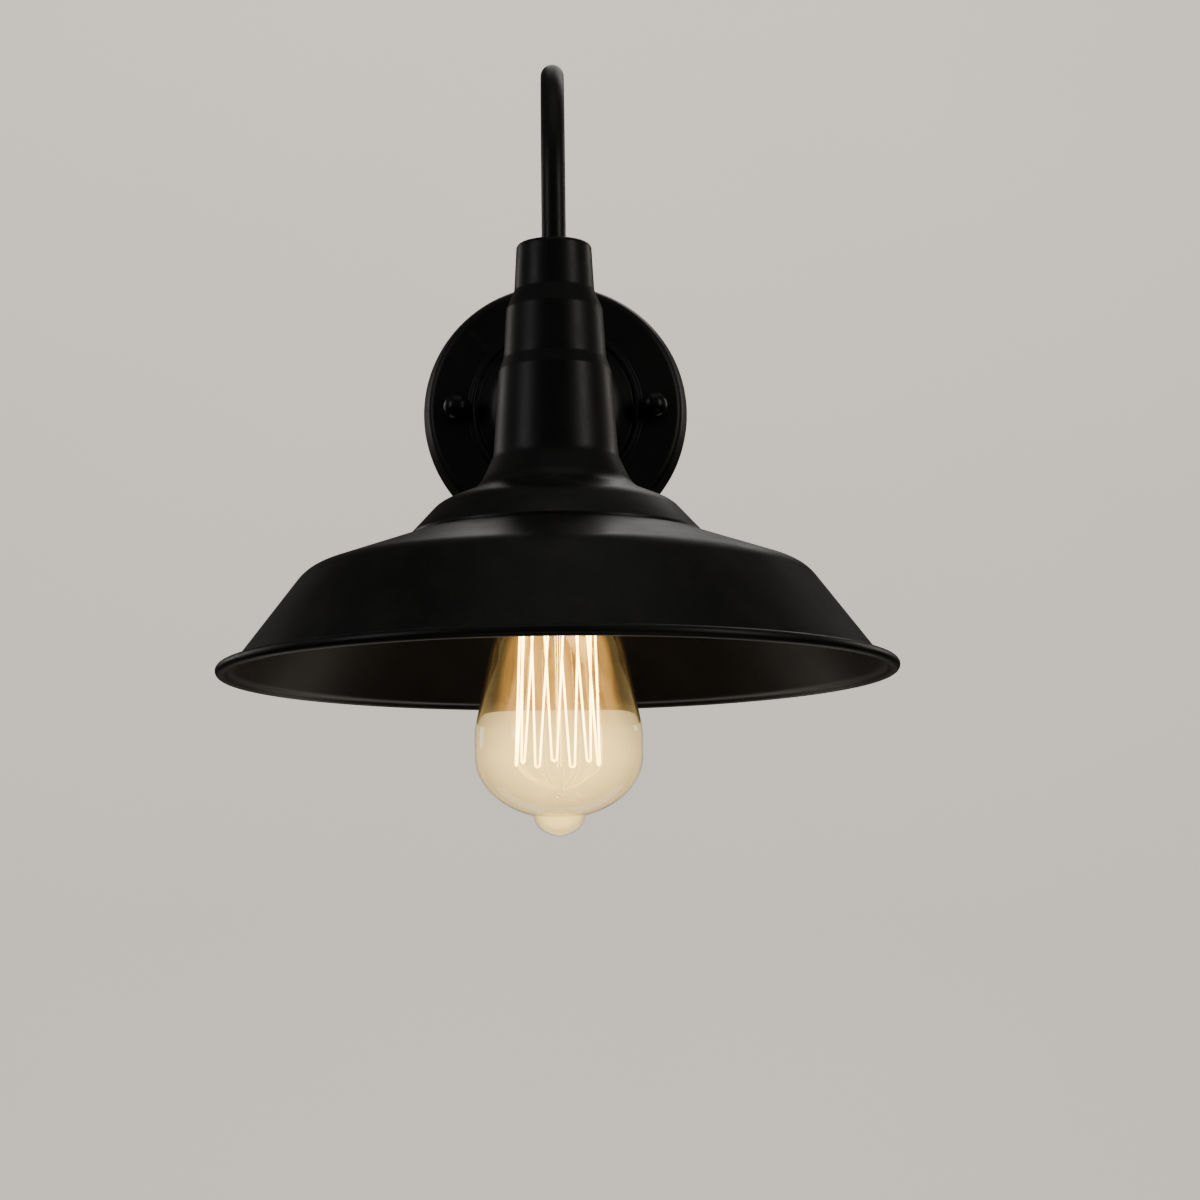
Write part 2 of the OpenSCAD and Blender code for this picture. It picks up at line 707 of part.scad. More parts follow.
module ball_washer(side) {
    color("#2a2a2b") difference() {
        post(side * stud_x, 0, ball_washer_r, face_d, ball_seat);
        post(side * stud_x, 0, stud_r + 0.1, face_d - 1, ball_seat + 1);
    }
}

module ball_nut(side) {
    blind = stud_end + 0.6;
    color(black) difference() {
        union() {
            post(side * stud_x, 0, ball_foot_r, ball_seat, ball_seat + ball_foot_h + 0.5);
            translate([side * stud_x, -ball_mid, 0]) sphere(r = ball_d / 2, $fn = 64);
        }
        post(side * stud_x, 0, stud_r + fit_gap, ball_seat - 1, blind);
    }
}

module ball_washer_left() { ball_washer(-1); }

module ball_washer_right() { ball_washer(1); }

module ball_nut_left() { ball_nut(-1); }

module ball_nut_right() { ball_nut(1); }

// ---- Bulb ----

module bulb_contact() {
    color("#b8bab8") about_holder() translate([0, 0, bulb_top - contact_h])
        rotate_extrude($fn = 64) polygon(rounded(
            [[0, 0], [contact_r, 0], [contact_r, contact_h * 0.6], [contact_r * 0.5, contact_h],
             [0, contact_h]], [0, 0.5, 2]));
}

module bulb_insulator() {
    low = bulb_top - contact_h - insulator_h;
    color("#151515") about_holder() rotate_extrude($fn = 64) polygon(
        [[0, low], [neck_in_r, low], [neck_in_r, low + 1.2], [contact_r + 1, bulb_top - contact_h],
         [0, bulb_top - contact_h]]);
}

module bulb_cap() {
    top = bulb_top - contact_h - insulator_h + 1.2;
    low = bulb_top - cap_l;
    color("#a9a7a0") about_holder() difference() {
        translate([0, 0, low]) cylinder(h = top - low, r = cap_r, $fn = 96);
        translate([0, 0, low - 1]) cylinder(h = top - low + 2, r = neck_in_r, $fn = 96);
    }
}

// The pear outline, from the open neck to the lowest point of the belly
glass_neck_top = bulb_top - contact_h - insulator_h - 3;
glass_outline = concat(
    rounded([[neck_in_r, glass_neck_top], [neck_in_r, bulb_top - cap_l - 4],
             [bulb_r * 0.8, widest + 41 * bulb_l / 142], [bulb_r, widest + 10], [bulb_r, widest]],
            [10, 60, 30], 8),
    [for (a = [6 : 6 : 72]) [bulb_r * cos(a), widest - belly_h * sin(a)]],
    let (root_z = widest - belly_h * sin(72), root_r = bulb_r * cos(72))
    [for (a = [15 : 15 : 90]) [root_r * 0.96 * cos(a), root_z - 1 - (root_z - 1 - tip_z) * sin(a)]]);

module bulb_glass() {
    inside = beside(glass_outline, -glass_t);
    tip = len(inside) - 1;
    color("#f5dfae", 0.35) about_holder() rotate_extrude($fn = 128) polygon(concat(
        glass_outline, [[0, inside[tip].y]], [for (k = [tip - 1 : -1 : 0]) inside[k]]));
}

// The flare that closes the neck, the pinch that holds the leads, the rod and its end button
module bulb_stem() {
    flare_r = neck_in_r - glass_t;
    stem_top = glass_neck_top - 2;
    color("#e9eef0", 0.5) about_holder() {
        rotate_extrude($fn = 64) polygon(rounded(
            [[0, stem_top], [flare_r, stem_top], [flare_r, stem_top - 1.5], [4.2, stem_top - 7],
             [3.4, stem_low], [0, stem_low]], [0, 1, 5, 1]));
        translate([0, 0, button_z]) cylinder(h = stem_low - button_z + 1, r = rod_r, $fn = 32);
        translate([0, 0, button_z]) sphere(r = button_r, $fn = 32);
        translate([0, 0, support_high_z]) sphere(r = bead_r_high, $fn = 32);
    }
}

// A straight round rod from a to b
module rod(a, b, r) {
    d = b - a;
    translate(a) rotate([0, acos(d.z / norm(d)), atan2(d.y, d.x)]) cylinder(h = norm(d), r = r, $fn = 16);
}

// The filament zigzags round the stem: its even turns hang from the upper hooks, its odd ones on the lower
last_turn = 2 * filament_pairs;
turn_step = 360 / (last_turn + 1);
function round_stem(j, r, z) = [r * cos(j * turn_step), r * sin(j * turn_step), z];
function high_turn(j) = round_stem(j, support_high_r, support_high_z);
function low_turn(j) = round_stem(j, support_low_r, support_low_z);

// A half turn of the filament round hook j, up and over (side = 1) or down and under (side = -1)
function half_turn(j, mid, side) = let (along = round_stem(j + 90 / turn_step, 1, 0))
    [for (a = [0 : 45 : 180]) mid - bend_r * cos(a) * along + [0, 0, side * bend_r * sin(a)]];

// The lead wires run from the pinch to the two ends of the filament
module bulb_leads() {
    color("#b08d57") about_holder() for (end = [high_turn(0), high_turn(last_turn)])
        rod(unit([end.x, end.y, 0]) * 2.6 + [0, 0, stem_low - 0.2],
            end + [0, 0, filament_r + hook_gap], lead_r);
}

// Fine hooks from the glass, each through the inside of a half turn of the filament
module bulb_supports() {
    color("#9a9a96") about_holder() {
        for (j = [2 : 2 : last_turn - 2])
            rod(round_stem(j, bead_r_high - 0.1, support_high_z),
                round_stem(j, support_high_r + 0.6, support_high_z), hook_r);
        for (j = [1 : 2 : last_turn - 1]) {
            start = [0, 0, button_z];
            out = unit(low_turn(j) - start);
            rod(start + out * (button_r - 0.1), low_turn(j) + 0.6 * out, hook_r);
        }
    }
}

module bulb_filament() {
    route = concat([high_turn(0)],
        [for (j = [1 : last_turn - 1]) each
            j % 2 == 1 ? half_turn(j, low_turn(j), -1) : half_turn(j, high_turn(j), 1)],
        [high_turn(last_turn)]);
    color("#ffb347") about_holder() cord(route, 2 * filament_r, 6, true);
}

wall_gasket();
mounting_bar();
mounting_studs();
stud_lock_nuts();
ground_screw();
ground_lug();
ground_wire();
backplate();
arm_collar();
arm_tube();
arm_star_washers();
arm_lock_nuts();
live_wire();
neutral_wire();
wire_nuts();
neck_cup();
lampholder_bracket();
lampholder_body();
lampholder_screws();
lampholder_shell();
lampholder_contact();
terminal_blocks();
terminal_screws();
shade();
shade_screws();
shade_nuts();
ball_washer_left();
ball_washer_right();
ball_nut_left();
ball_nut_right();
bulb_contact();
bulb_insulator();
bulb_cap();
bulb_glass();
bulb_stem();
bulb_leads();
bulb_supports();
bulb_filament();
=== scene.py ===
"""Gooseneck wall lantern with a filament bulb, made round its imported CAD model.

Metres. X is to the right, +Y runs into the wall and +Z is up. The origin is the centre of the wall plate.
"""
import json
import math

import bpy
import numpy as np
from bpy.props import FloatProperty, FloatVectorProperty, IntProperty, PointerProperty
from mathutils import Matrix, Vector


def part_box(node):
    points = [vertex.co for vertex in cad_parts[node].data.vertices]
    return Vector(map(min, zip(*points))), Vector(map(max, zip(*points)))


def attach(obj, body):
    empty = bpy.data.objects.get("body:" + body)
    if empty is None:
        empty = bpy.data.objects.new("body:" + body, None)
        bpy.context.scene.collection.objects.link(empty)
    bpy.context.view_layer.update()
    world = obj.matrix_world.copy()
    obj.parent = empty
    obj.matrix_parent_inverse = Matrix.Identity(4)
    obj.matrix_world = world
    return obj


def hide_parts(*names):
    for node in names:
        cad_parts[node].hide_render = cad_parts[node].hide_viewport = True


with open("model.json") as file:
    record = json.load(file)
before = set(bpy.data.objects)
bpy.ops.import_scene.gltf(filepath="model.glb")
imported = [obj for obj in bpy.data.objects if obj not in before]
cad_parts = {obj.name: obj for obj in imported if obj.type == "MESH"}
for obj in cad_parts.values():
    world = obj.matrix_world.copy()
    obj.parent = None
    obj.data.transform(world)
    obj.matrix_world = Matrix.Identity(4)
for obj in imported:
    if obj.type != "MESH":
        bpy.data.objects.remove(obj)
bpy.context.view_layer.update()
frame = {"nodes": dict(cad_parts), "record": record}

bl_info = {
    "name": "Gooseneck Wall Lantern",
    "version": (1, 0, 0),
    "blender": (4, 5, 0),
    "location": "View3D > Sidebar > Lantern",
    "description": "Makes the visible pieces of a gooseneck wall lantern with a filament bulb",
    "category": "Object",
}

MM = 0.001
# Axes for moved(): where each of a shell's own three axes goes
WALL_OUT = ((1, 0, 0), (0, 0, 1), (0, -1, 0))
INTO_WALL = ((1, 0, 0), (0, 0, -1), (0, 1, 0))
UPRIGHT = ((1, 0, 0), (0, 1, 0), (0, 0, 1))
DOWNWARD = ((1, 0, 0), (0, -1, 0), (0, 0, -1))

# Where the CAD says that the main lines of the lantern are, in millimetres
REACH = -1000 * (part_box("bulb_cap")[0].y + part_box("bulb_cap")[1].y) / 2
STUD_X = 1000 * (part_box("ball_nut_right")[0].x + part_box("ball_nut_right")[1].x) / 2
SHADE_AXIS = (0, -REACH, 0)
# Thickness of the plate's, neck's and shade's sheet metal, and height of one turn of the 8-32 studs
SHEET = 1.2
STUD_PITCH = 0.79375

# Two faces that meet at more than this many degrees keep a sharp edge
SHARP = 38.0
# How far above the bulb's widest height its painted glow has turned from golden to creamy
CREAM_FADE = 22.0


# ---- Outlines, in millimetres ----

def rounded(points, radii, steps=8):
    """The line through the points, with each inner corner b swapped for the arc that touches both its sides:
    its centre is b + (u + v) / |u + v| * r / sin(half the corner's angle), with u and v the ways to the
    neighbours."""
    points = np.array(points, float)
    line = [points[:1]]
    for a, b, c, r in zip(points[:-2], points[1:-1], points[2:], radii):
        if r <= 0:
            line.append(b[None])
            continue
        u, v = (a - b) / np.linalg.norm(a - b), (c - b) / np.linalg.norm(c - b)
        half = math.acos(float(np.clip(u @ v, -1, 1))) / 2
        centre = b + (u + v) / np.linalg.norm(u + v) * r / math.sin(half)
        first, last = b + u * r / math.tan(half) - centre, b + v * r / math.tan(half) - centre
        start = math.atan2(first[1], first[0])
        turn = (math.atan2(last[1], last[0]) - start + 3 * math.pi) % (2 * math.pi) - math.pi
        angle = start + turn * np.linspace(0, 1, steps + 1)
        line.append(centre + r * np.stack([np.cos(angle), np.sin(angle)], 1))
    line.append(points[-1:])
    return np.concatenate(line)


def beside(points, gap):
    """The line moved gap to its left: each point moves along the sum of its two sides' left normals m,
    by gap * 2 m / |m|^2."""
    points = np.array(points, float)
    way = np.diff(points, axis=0)
    way /= np.linalg.norm(way, axis=1)[:, None]
    left = np.stack([-way[:, 1], way[:, 0]], 1)
    both = np.concatenate([left[:1], left[:-1] + left[1:], left[-1:]])
    both[[0, -1]] *= 2
    return points + gap * 2 * both / (both ** 2).sum(1)[:, None]


def wall_inside(points, radii, thickness, steps=8):
    """The inner face of a sheet wall: the points moved to the right, with each radius made larger or smaller
    by the thickness, as the corner turns."""
    points = np.array(points, float)
    d = np.diff(points, axis=0)
    bend = d[:-1, 0] * d[1:, 1] - d[:-1, 1] * d[1:, 0]
    inner = [max(r + (thickness if b > 0 else -thickness), 0) for r, b in zip(radii, bend)]
    return rounded(beside(points, -thickness), inner, steps)


def arc(centre, r, start, end, steps):
    """Points centre + r (cos a, sin a), for a from start to end in degrees."""
    a = np.radians(np.linspace(start, end, steps + 1))
    return np.array(centre, float) + r * np.stack([np.cos(a), np.sin(a)], 1)


def smooth_route(points, steps=8):
    """A curve through the points: on each stretch the cubic that leaves and arrives along the chord
    between the neighbours on either side."""
    p = np.array(points, float)
    q = np.concatenate([p[:1], p, p[-1:]])
    a, b, c, d = (q[k:len(q) - 3 + k, None] for k in range(4))
    t = (np.arange(steps) / steps)[None, :, None]
    square, cube = 2 * a - 5 * b + 4 * c - d, 3 * b - a - 3 * c + d
    cubic = 0.5 * (2 * b + (c - a) * t + square * t ** 2 + cube * t ** 3)
    return np.concatenate([cubic.reshape(-1, p.shape[1]), p[-1:]])


# ---- Surfaces: each gives (points in millimetres, list of face arrays) ----

def outward(points, faces):
    """Turns the faces so that they point out: six times a closed shell's volume is the sum, over its
    triangles, of a . (b x c), and it is above nothing when they do."""
    volume = 0.0
    for f in faces:
        for k in range(1, f.shape[1] - 1):
            a, b, c = points[f[:, 0]], points[f[:, k]], points[f[:, k + 1]]
            volume += float((a * np.cross(b, c)).sum())
    return points, ([f[:, ::-1] for f in faces] if volume < 0 else faces)


def joined(*shells):
    """Several shells as one."""
    points, faces, count = [], [], 0
    for p, fs in shells:
        points.append(p)
        faces += [f + count for f in fs]
        count += len(p)
    return np.concatenate(points), faces


def moved(shell, by=(0, 0, 0), turn=0.0, axes=UPRIGHT):
    """The shell turned about its own third axis, laid on the axes, and moved."""
    points, faces = shell
    c, s = math.cos(math.radians(turn)), math.sin(math.radians(turn))
    spin = np.array([[c, s, 0], [-s, c, 0], [0, 0, 1]])
    return outward(points @ spin @ np.array(axes, float) + np.array(by, float), faces)


def grid_faces(rows, columns, wrap_rows, wrap_columns):
    """The four-sided faces between neighbours of a grid of points, numbered row by row."""
    r = np.arange(rows if wrap_rows else rows - 1)
    c = np.arange(columns if wrap_columns else columns - 1)
    a, b = np.meshgrid(r, c, indexing="ij")
    a2, b2 = (a + 1) % rows, (b + 1) % columns
    return np.stack([a * columns + b, a * columns + b2, a2 * columns + b2, a2 * columns + b], -1).reshape(-1, 4)


def turned(outline, sides=128, shape=None):
    """The outline (r, h) carried round the third axis: (r cos a, r sin a, h). An outline that starts and ends
    on the axis closes there in single points, and any other is closed on itself. shape(r, a, h) may change r."""
    outline = np.array(outline, float)
    on_axis = outline[0, 0] < 1e-9 and outline[-1, 0] < 1e-9
    ring = outline[1:-1] if on_axis else outline
    a = 2 * math.pi * np.arange(sides) / sides
    r, h = ring[:, :1] + 0 * a, ring[:, 1:] + 0 * a
    if shape is not None:
        r = shape(r, a[None, :], h)
    points = np.stack([r * np.cos(a), r * np.sin(a), h], -1).reshape(-1, 3)
    faces = [grid_faces(len(ring), sides, not on_axis, True)]
    if on_axis:
        n = len(points)
        points = np.concatenate([points, [[0, 0, outline[0, 1]], [0, 0, outline[-1, 1]]]])
        k = np.arange(sides)
        k2 = (k + 1) % sides
        last = (len(ring) - 1) * sides
        faces += [np.stack([k2, k, np.full(sides, n)], 1),
                  np.stack([last + k, last + k2, np.full(sides, n + 1)], 1)]
    return outward(points, faces)


def carried(route, outline, side=(1, 0, 0)):
    """An outline carried along a route. At each point p, with way t, the outline's (x, y) goes to
    p + x u + y v, where u = t x side made one long, and v = t x u. Its two ends are closed with flat faces."""
    route = np.array(route, float)
    t = np.gradient(route, axis=0)
    t /= np.linalg.norm(t, axis=1)[:, None]
    u = np.cross(t, np.broadcast_to(np.array(side, float), t.shape))
    u /= np.linalg.norm(u, axis=1)[:, None]
    v = np.cross(t, u)
    n = len(outline)
    points = route[:, None] + outline[:, :1] * u[:, None] + outline[:, 1:] * v[:, None]
    ends = [np.arange(n)[None], (len(route) - 1) * n + np.arange(n)[None, ::-1]]
    return outward(points.reshape(-1, 3), [grid_faces(len(route), n, False, True), *ends])


def spun(outline, sides, shape=None):
    """The outline carried round the shade's axis."""
    return moved(turned(outline, sides, shape), SHADE_AXIS)


def out_of_wall(shell, x=0.0, off=0.0, turn=0.0):
    """A shell whose third axis points out of the wall, x to the right and off from the wall."""
    return moved(shell, (x, -off, 0), turn, WALL_OUT)


def rod(route, r, side=(1, 0, 0), sides=12):
    """A round rod along a route: a circle of radius r, carried along it."""
    return carried(route, arc((0, 0), r, 0, 360 - 360 / sides, sides - 1), side)


def wave(turns, a):
    """A thread's depth from 0 on its crest to 1 in its groove: (1 - cos(2 pi turns - a)) / 2."""
    return 0.5 - 0.5 * np.cos(2 * math.pi * turns - a)


def thread(depth, pitch, low, high, fade=0.6):
    """A change of radius for turned(): r less depth * wave(h / pitch, a) between low and high, faded in and
    out at both ends."""
    def shape(r, a, h):
        run = np.clip((h - low) / fade, 0, 1) * np.clip((high - h) / fade, 0, 1)
        return r - depth * run * wave(h / pitch, a)
    return shape


def hexagon_nut(af, height, bore, pitch, chamfer=0.5):
    """A nut on the third axis, af across its flats. Outside, r is the lesser of af / 2 / cos(a past the
    middle of its flat) and the chamfer's cone."""
    corner = af / 2 / math.cos(math.pi / 6)
    rows = np.concatenate([np.linspace(0, chamfer, 5), np.linspace(chamfer, height - chamfer, 4)[1:-1],
                           np.linspace(height - chamfer, height, 5)])
    bore_rows = np.linspace(height, 0, 33)
    edge = np.full_like(rows, corner)
    line = np.concatenate([np.stack([edge, rows], 1),
                           np.stack([np.full_like(bore_rows, bore), bore_rows], 1)])
    cut = thread(-0.16 * pitch, pitch, 0, height, 0.3)

    def shape(r, a, h):
        flat = (a + math.pi / 6) % (math.pi / 3) - math.pi / 6
        side = af / 2 / np.cos(flat)
        top = af / 2 - 0.25 + np.minimum(h, height - h) * 1.7
        outside = np.minimum(side, top)
        inside = np.broadcast_to(cut(r, a, h), outside.shape)
        return np.where(r > (corner + bore) / 2, outside, inside)
    return turned(line, 96, shape)


# ---- Finishes ----

class Maker:
    """Places nodes in a tree and joins them up: an input is a plain value, or a socket that feeds it."""

    def __init__(self, tree):
        self.tree = tree

    def node(self, kind, settings=None, **inputs):
        """A node of a kind, with its settings. An input is named by its label, or i and its number."""
        n = self.tree.nodes.new(kind)
        for key, value in (settings or {}).items():
            setattr(n, key, value)
        for key, value in inputs.items():
            name = int(key[1:]) if key[0] == "i" and key[1:].isdigit() else key.replace("_", " ")
            self.feed(n.inputs[name], value)
        return n

    def feed(self, socket, value):
        """Joins a socket to an input, or gives the input a plain value."""
        if isinstance(value, bpy.types.NodeSocket):
            self.tree.links.new(value, socket)
        else:
            socket.default_value = value

    def place(self):
        """Where a point lies on its own object, in metres."""
        return self.node("ShaderNodeTexCoord").outputs["Object"]

    def noise(self, where, scale, detail=3.0, rough=0.55):
        return self.node("ShaderNodeTexNoise", Vector=where, Scale=scale, Detail=detail,
                         Roughness=rough).outputs["Fac"]

    def maths(self, operation, a, b):
        return self.node("ShaderNodeMath", {"operation": operation}, i0=a, i1=b).outputs[0]

    def times(self, *values):
        """The product of all the values."""
        product = values[0]
        for value in values[1:]:
            product = self.maths("MULTIPLY", product, value)
        return product

    def height(self, where=None):
        """The third part of a vector, or of the point's place."""
        return self.node("ShaderNodeSeparateXYZ", Vector=where or self.place()).outputs["Z"]

    def cells(self, scale):
        return self.node("ShaderNodeTexVoronoi", Vector=self.place(), Scale=scale).outputs

    def between(self, value, low, high, to_low=0.0, to_high=1.0):
        """A smooth step: to_low where the value is low, to_high where it is high."""
        return self.node("ShaderNodeMapRange", {"interpolation_type": "SMOOTHSTEP"}, Value=value, From_Min=low,
                         From_Max=high, To_Min=to_low, To_Max=to_high).outputs["Result"]

    def mix(self, amount, a, b):
        """Colour a where the amount is 0, and b where it is 1."""
        n = self.node("ShaderNodeMix", {"data_type": "RGBA"})
        self.feed(n.inputs[0], amount)
        self.feed(n.inputs[6], a)
        self.feed(n.inputs[7], b)
        return n.outputs[2]

    def use(self, group, **inputs):
        return self.node("ShaderNodeGroup", {"node_tree": bpy.data.node_groups[group]}, **inputs).outputs


def new_group(name, outputs, **inputs):
    """An empty shader node group with the named inputs and outputs, and a maker for it. A value of four numbers
    is a colour."""
    tree = bpy.data.node_groups.new(name, "ShaderNodeTree")
    for label, value in inputs.items():
        kind = "NodeSocketColor" if isinstance(value, tuple) else "NodeSocketFloat"
        socket = tree.interface.new_socket(label.replace("_", " "), in_out="INPUT", socket_type=kind)
        socket.default_value = value
    for label in outputs:
        kind = "NodeSocketColor" if label == "Colour" else "NodeSocketFloat"
        tree.interface.new_socket(label, in_out="OUTPUT", socket_type=kind)
    m = Maker(tree)
    return m, m.node("NodeGroupInput").outputs, m.node("NodeGroupOutput").inputs


def build_groups():
    """The effects that more than one finish uses."""
    dark = (0.02, 0.02, 0.02, 1)
    m, given, out = new_group("Coat Grain", ("Colour", "Roughness", "Height"), Colour=dark,
                              Second_Colour=(0.03, 0.03, 0.03, 1), Grain=1100.0, Low_Roughness=0.3,
                              High_Roughness=0.45)
    where = m.place()
    cloud = m.noise(where, 38.0, 4.0)
    fine = m.noise(where, given["Grain"], 2.0)
    m.feed(out["Colour"], m.mix(m.between(cloud, 0.35, 0.7), given["Colour"], given["Second Colour"]))
    blend = m.maths("ADD", m.times(cloud, 0.65), m.times(fine, 0.35))
    rough = m.node("ShaderNodeMapRange", Value=blend, From_Min=0.35, From_Max=0.65,
                   To_Min=given["Low Roughness"], To_Max=given["High Roughness"])
    m.feed(out["Roughness"], rough.outputs["Result"])
    m.feed(out["Height"], fine)

    m, given, out = new_group("Settled Dust", ("Colour",), Colour=dark, Dust_Colour=(0.3, 0.28, 0.25, 1),
                              Amount=0.1)
    up = m.height(m.node("ShaderNodeNewGeometry").outputs["Normal"])
    patch = m.between(m.noise(m.place(), 60.0, 6.0, 0.7), 0.4, 0.75)
    lies = m.times(m.between(up, 0.25, 0.95), patch, given["Amount"])
    m.feed(out["Colour"], m.mix(lies, given["Colour"], given["Dust Colour"]))

    # Sharp edges lighter in patches: partly rubbed wear, partly a painted highlight along the edges
    m, given, out = new_group("Edge Rub And Sheen", ("Colour",), Colour=dark, Rubbed_Colour=(0.1, 0.1, 0.1, 1), Amount=0.4)
    edge = m.between(m.node("ShaderNodeNewGeometry").outputs["Pointiness"], 0.53, 0.62)
    rub_and_sheen_mask = m.times(edge, m.between(m.noise(m.place(), 220.0, 4.0), 0.4, 0.65), given["Amount"])
    m.feed(out["Colour"], m.mix(rub_and_sheen_mask, given["Colour"], given["Rubbed Colour"]))

    m, given, out = new_group("Plated Metal", ("Colour", "Roughness", "Height"), Colour=(0.6, 0.6, 0.6, 1),
                              Second_Colour=(0.7, 0.7, 0.72, 1), Grain=260.0, Low_Roughness=0.22,
                              High_Roughness=0.42)
    patch = m.node("ShaderNodeSeparateColor", Color=m.cells(given["Grain"])["Color"]).outputs["Red"]
    along = m.node("ShaderNodeMapping", Vector=m.place(), Scale=(900, 60, 900)).outputs["Vector"]
    scratch = m.noise(along, 1.0, 3.0)
    tone = m.maths("ADD", m.times(patch, 0.6), m.times(scratch, 0.4))
    m.feed(out["Colour"], m.mix(tone, given["Colour"], given["Second Colour"]))
    m.feed(out["Roughness"], m.node("ShaderNodeMapRange", Value=tone, To_Min=given["Low Roughness"],
                                    To_Max=given["High Roughness"]).outputs["Result"])
    m.feed(out["Height"], scratch)


def new_finish(name, slot):
    """A material with a maker and its shader, marked with the record's slot."""
    material = bpy.data.materials.new(name)
    material.use_nodes = True
    material["slot"] = slot
    m = Maker(material.node_tree)
    return material, m, material.node_tree.nodes["Principled BSDF"]


def bumped(m, shader, height, strength, distance):
    """Feeds a height to the shader's normal. distance is in metres."""
    bump = m.node("ShaderNodeBump", Strength=strength, Distance=distance, Height=height)
    m.feed(shader.inputs["Normal"], bump.outputs["Normal"])


def set_sockets(shader, **values):
    """Gives a shader's inputs plain values, each by its label."""
    for key, value in values.items():
        shader.inputs[key.replace("_", " ")].default_value = value


def grained(name, slot, group, colour, second, rough, grain, bump, deep):
    """A finish that starts from a group: its two colours, range of roughness and fine bumps."""
    material, m, shader = new_finish(name, slot)
    base = m.use(group, Colour=colour, Second_Colour=second, Grain=grain, Low_Roughness=rough[0],
                 High_Roughness=rough[1])
    m.feed(shader.inputs["Base Color"], base["Colour"])
    m.feed(shader.inputs["Roughness"], base["Roughness"])
    bumped(m, shader, base["Height"], bump, deep)
    return material, m, shader, base


def coated(name, slot, colour, second, rub=0.35, rough=(0.34, 0.46)):
    """Powder coat: cloudy, lighter in patches at its sharp edges as rubbed wear and a painted edge highlight, and
    dusty on top.
    """
    material, m, shader, base = grained(name, slot, "Coat Grain", colour, second, rough, 1100.0, 0.12, 0.00006)
    # Rubbed wear and painted edge highlight: the coat turns lighter at its sharp edges
    rub_and_sheen_coat = m.use("Edge Rub And Sheen", Colour=base["Colour"], Rubbed_Colour=(0.05, 0.048, 0.045, 1), Amount=rub)
    dusty = m.use("Settled Dust", Colour=rub_and_sheen_coat["Colour"], Amount=0.06)
    m.feed(shader.inputs["Base Color"], dusty["Colour"])
    set_sockets(shader, Specular_IOR_Level=0.28)
    return material


def plated(name, slot, colour, second, rough=(0.22, 0.42), flake=260.0, glow=0.0):
    """Bright metal with flakes and fine scratches, and, where it is a wire near the filament, a painted warm glow
    that stands in for the filament's light on it.
    """
    material, m, shader, base = grained(name, slot, "Plated Metal", colour, second, rough, flake, 0.15, 0.00004)
    set_sockets(shader, Metallic=1.0)
    # Painted glow: emission that stands in for the filament's light on the wire
    if glow:
        set_sockets(shader, Emission_Color=(1.0, 0.74, 0.32, 1), Emission_Strength=glow)
    return material


def moulded(name, slot, colour, second, rough=(0.35, 0.5), grain=400.0, bump=0.1):
    """Moulded plastic, rubber or black glass."""
    return grained(name, slot, "Coat Grain", colour, second, rough, grain, bump, 0.0001)[0]


def foam(name, slot):
    """Closed-cell foam: small round cells that dent the surface."""
    material, m, shader = new_finish(name, slot)
    cells = m.cells(1500.0)["Distance"]
    cloud = m.noise(m.place(), 90.0, 4.0)
    m.feed(shader.inputs["Base Color"], m.mix(m.between(cells, 0.1, 0.55), (0.012, 0.012, 0.013, 1),
                                              (0.045, 0.045, 0.047, 1)))
    m.feed(shader.inputs["Roughness"], m.between(cloud, 0.3, 0.7, 0.8, 0.95))
    bumped(m, shader, cells, 0.5, 0.0003)
    return material


def glazed(name, slot):
    """White porcelain under a clear glaze, with faint specks and pooled tint."""
    material, m, shader = new_finish(name, slot)
    cloud = m.noise(m.place(), 70.0, 3.0)
    specks = m.cells(420.0)["Distance"]
    tinted = m.mix(m.between(cloud, 0.35, 0.7), (0.86, 0.84, 0.78, 1), (0.78, 0.755, 0.69, 1))
    m.feed(shader.inputs["Base Color"], m.mix(m.between(specks, 0.07, 0.03), tinted, (0.35, 0.28, 0.2, 1)))
    m.feed(shader.inputs["Roughness"], m.between(cloud, 0.3, 0.7, 0.12, 0.24))
    bumped(m, shader, cloud, 0.12, 0.0006)
    set_sockets(shader, Coat_Weight=0.6, Coat_Roughness=0.06)
    return material


def blown_glass(name, slot, colour, ripple=0.25, glow=0.0):
    """Clear blown glass with slow waves in its surface. With a glow it carries a painted glow, golden above and
    creamy below.
    """
    material, m, shader = new_finish(name, slot)
    waves = m.noise(m.place(), 26.0, 2.0)
    deeper = tuple(c * 0.96 for c in colour[:3]) + (1.0,)
    m.feed(shader.inputs["Base Color"], m.mix(m.between(waves, 0.3, 0.7), colour, deeper))
    bumped(m, shader, waves, ripple, 0.0008)
    set_sockets(shader, Transmission_Weight=1.0, Roughness=0.0, IOR=1.46)
    if glow:
        # Painted glow: emission stands in for the hot filament's light in the glass, most where it is seen square
        # on, and hardly at its rim
        facing = m.node("ShaderNodeLayerWeight", Blend=0.5).outputs["Facing"]
        upright = m.node("ShaderNodeMapping", Vector=m.place(), Scale=(170, 170, 6)).outputs["Vector"]
        streaks = m.between(m.noise(upright, 1.0, 3.0), 0.38, 0.66)
        golden = m.mix(streaks, (0.9, 0.45, 0.1, 1), (0.34, 0.15, 0.03, 1))
        golden = m.mix(m.between(facing, 0.08, 0.48), golden, (0.02, 0.01, 0.003, 1))
        creamy = m.mix(m.between(facing, 0.0, 0.7), (1.0, 0.7, 0.2, 1), (0.3, 0.2, 0.08, 1))
        low = m.between(m.height(), (WIDEST + CREAM_FADE) * MM, WIDEST * MM)
        # Only the faces met from the air carry the painted glow, so the wall's own thickness doesn't light its
        # outline
        from_glass = m.node("ShaderNodeNewGeometry").outputs["Backfacing"]
        painted_glow = m.mix(from_glass, m.mix(low, golden, creamy), (0, 0, 0, 1))
        m.feed(shader.inputs["Emission Color"], painted_glow)
        set_sockets(shader, Emission_Strength=glow)
    return material


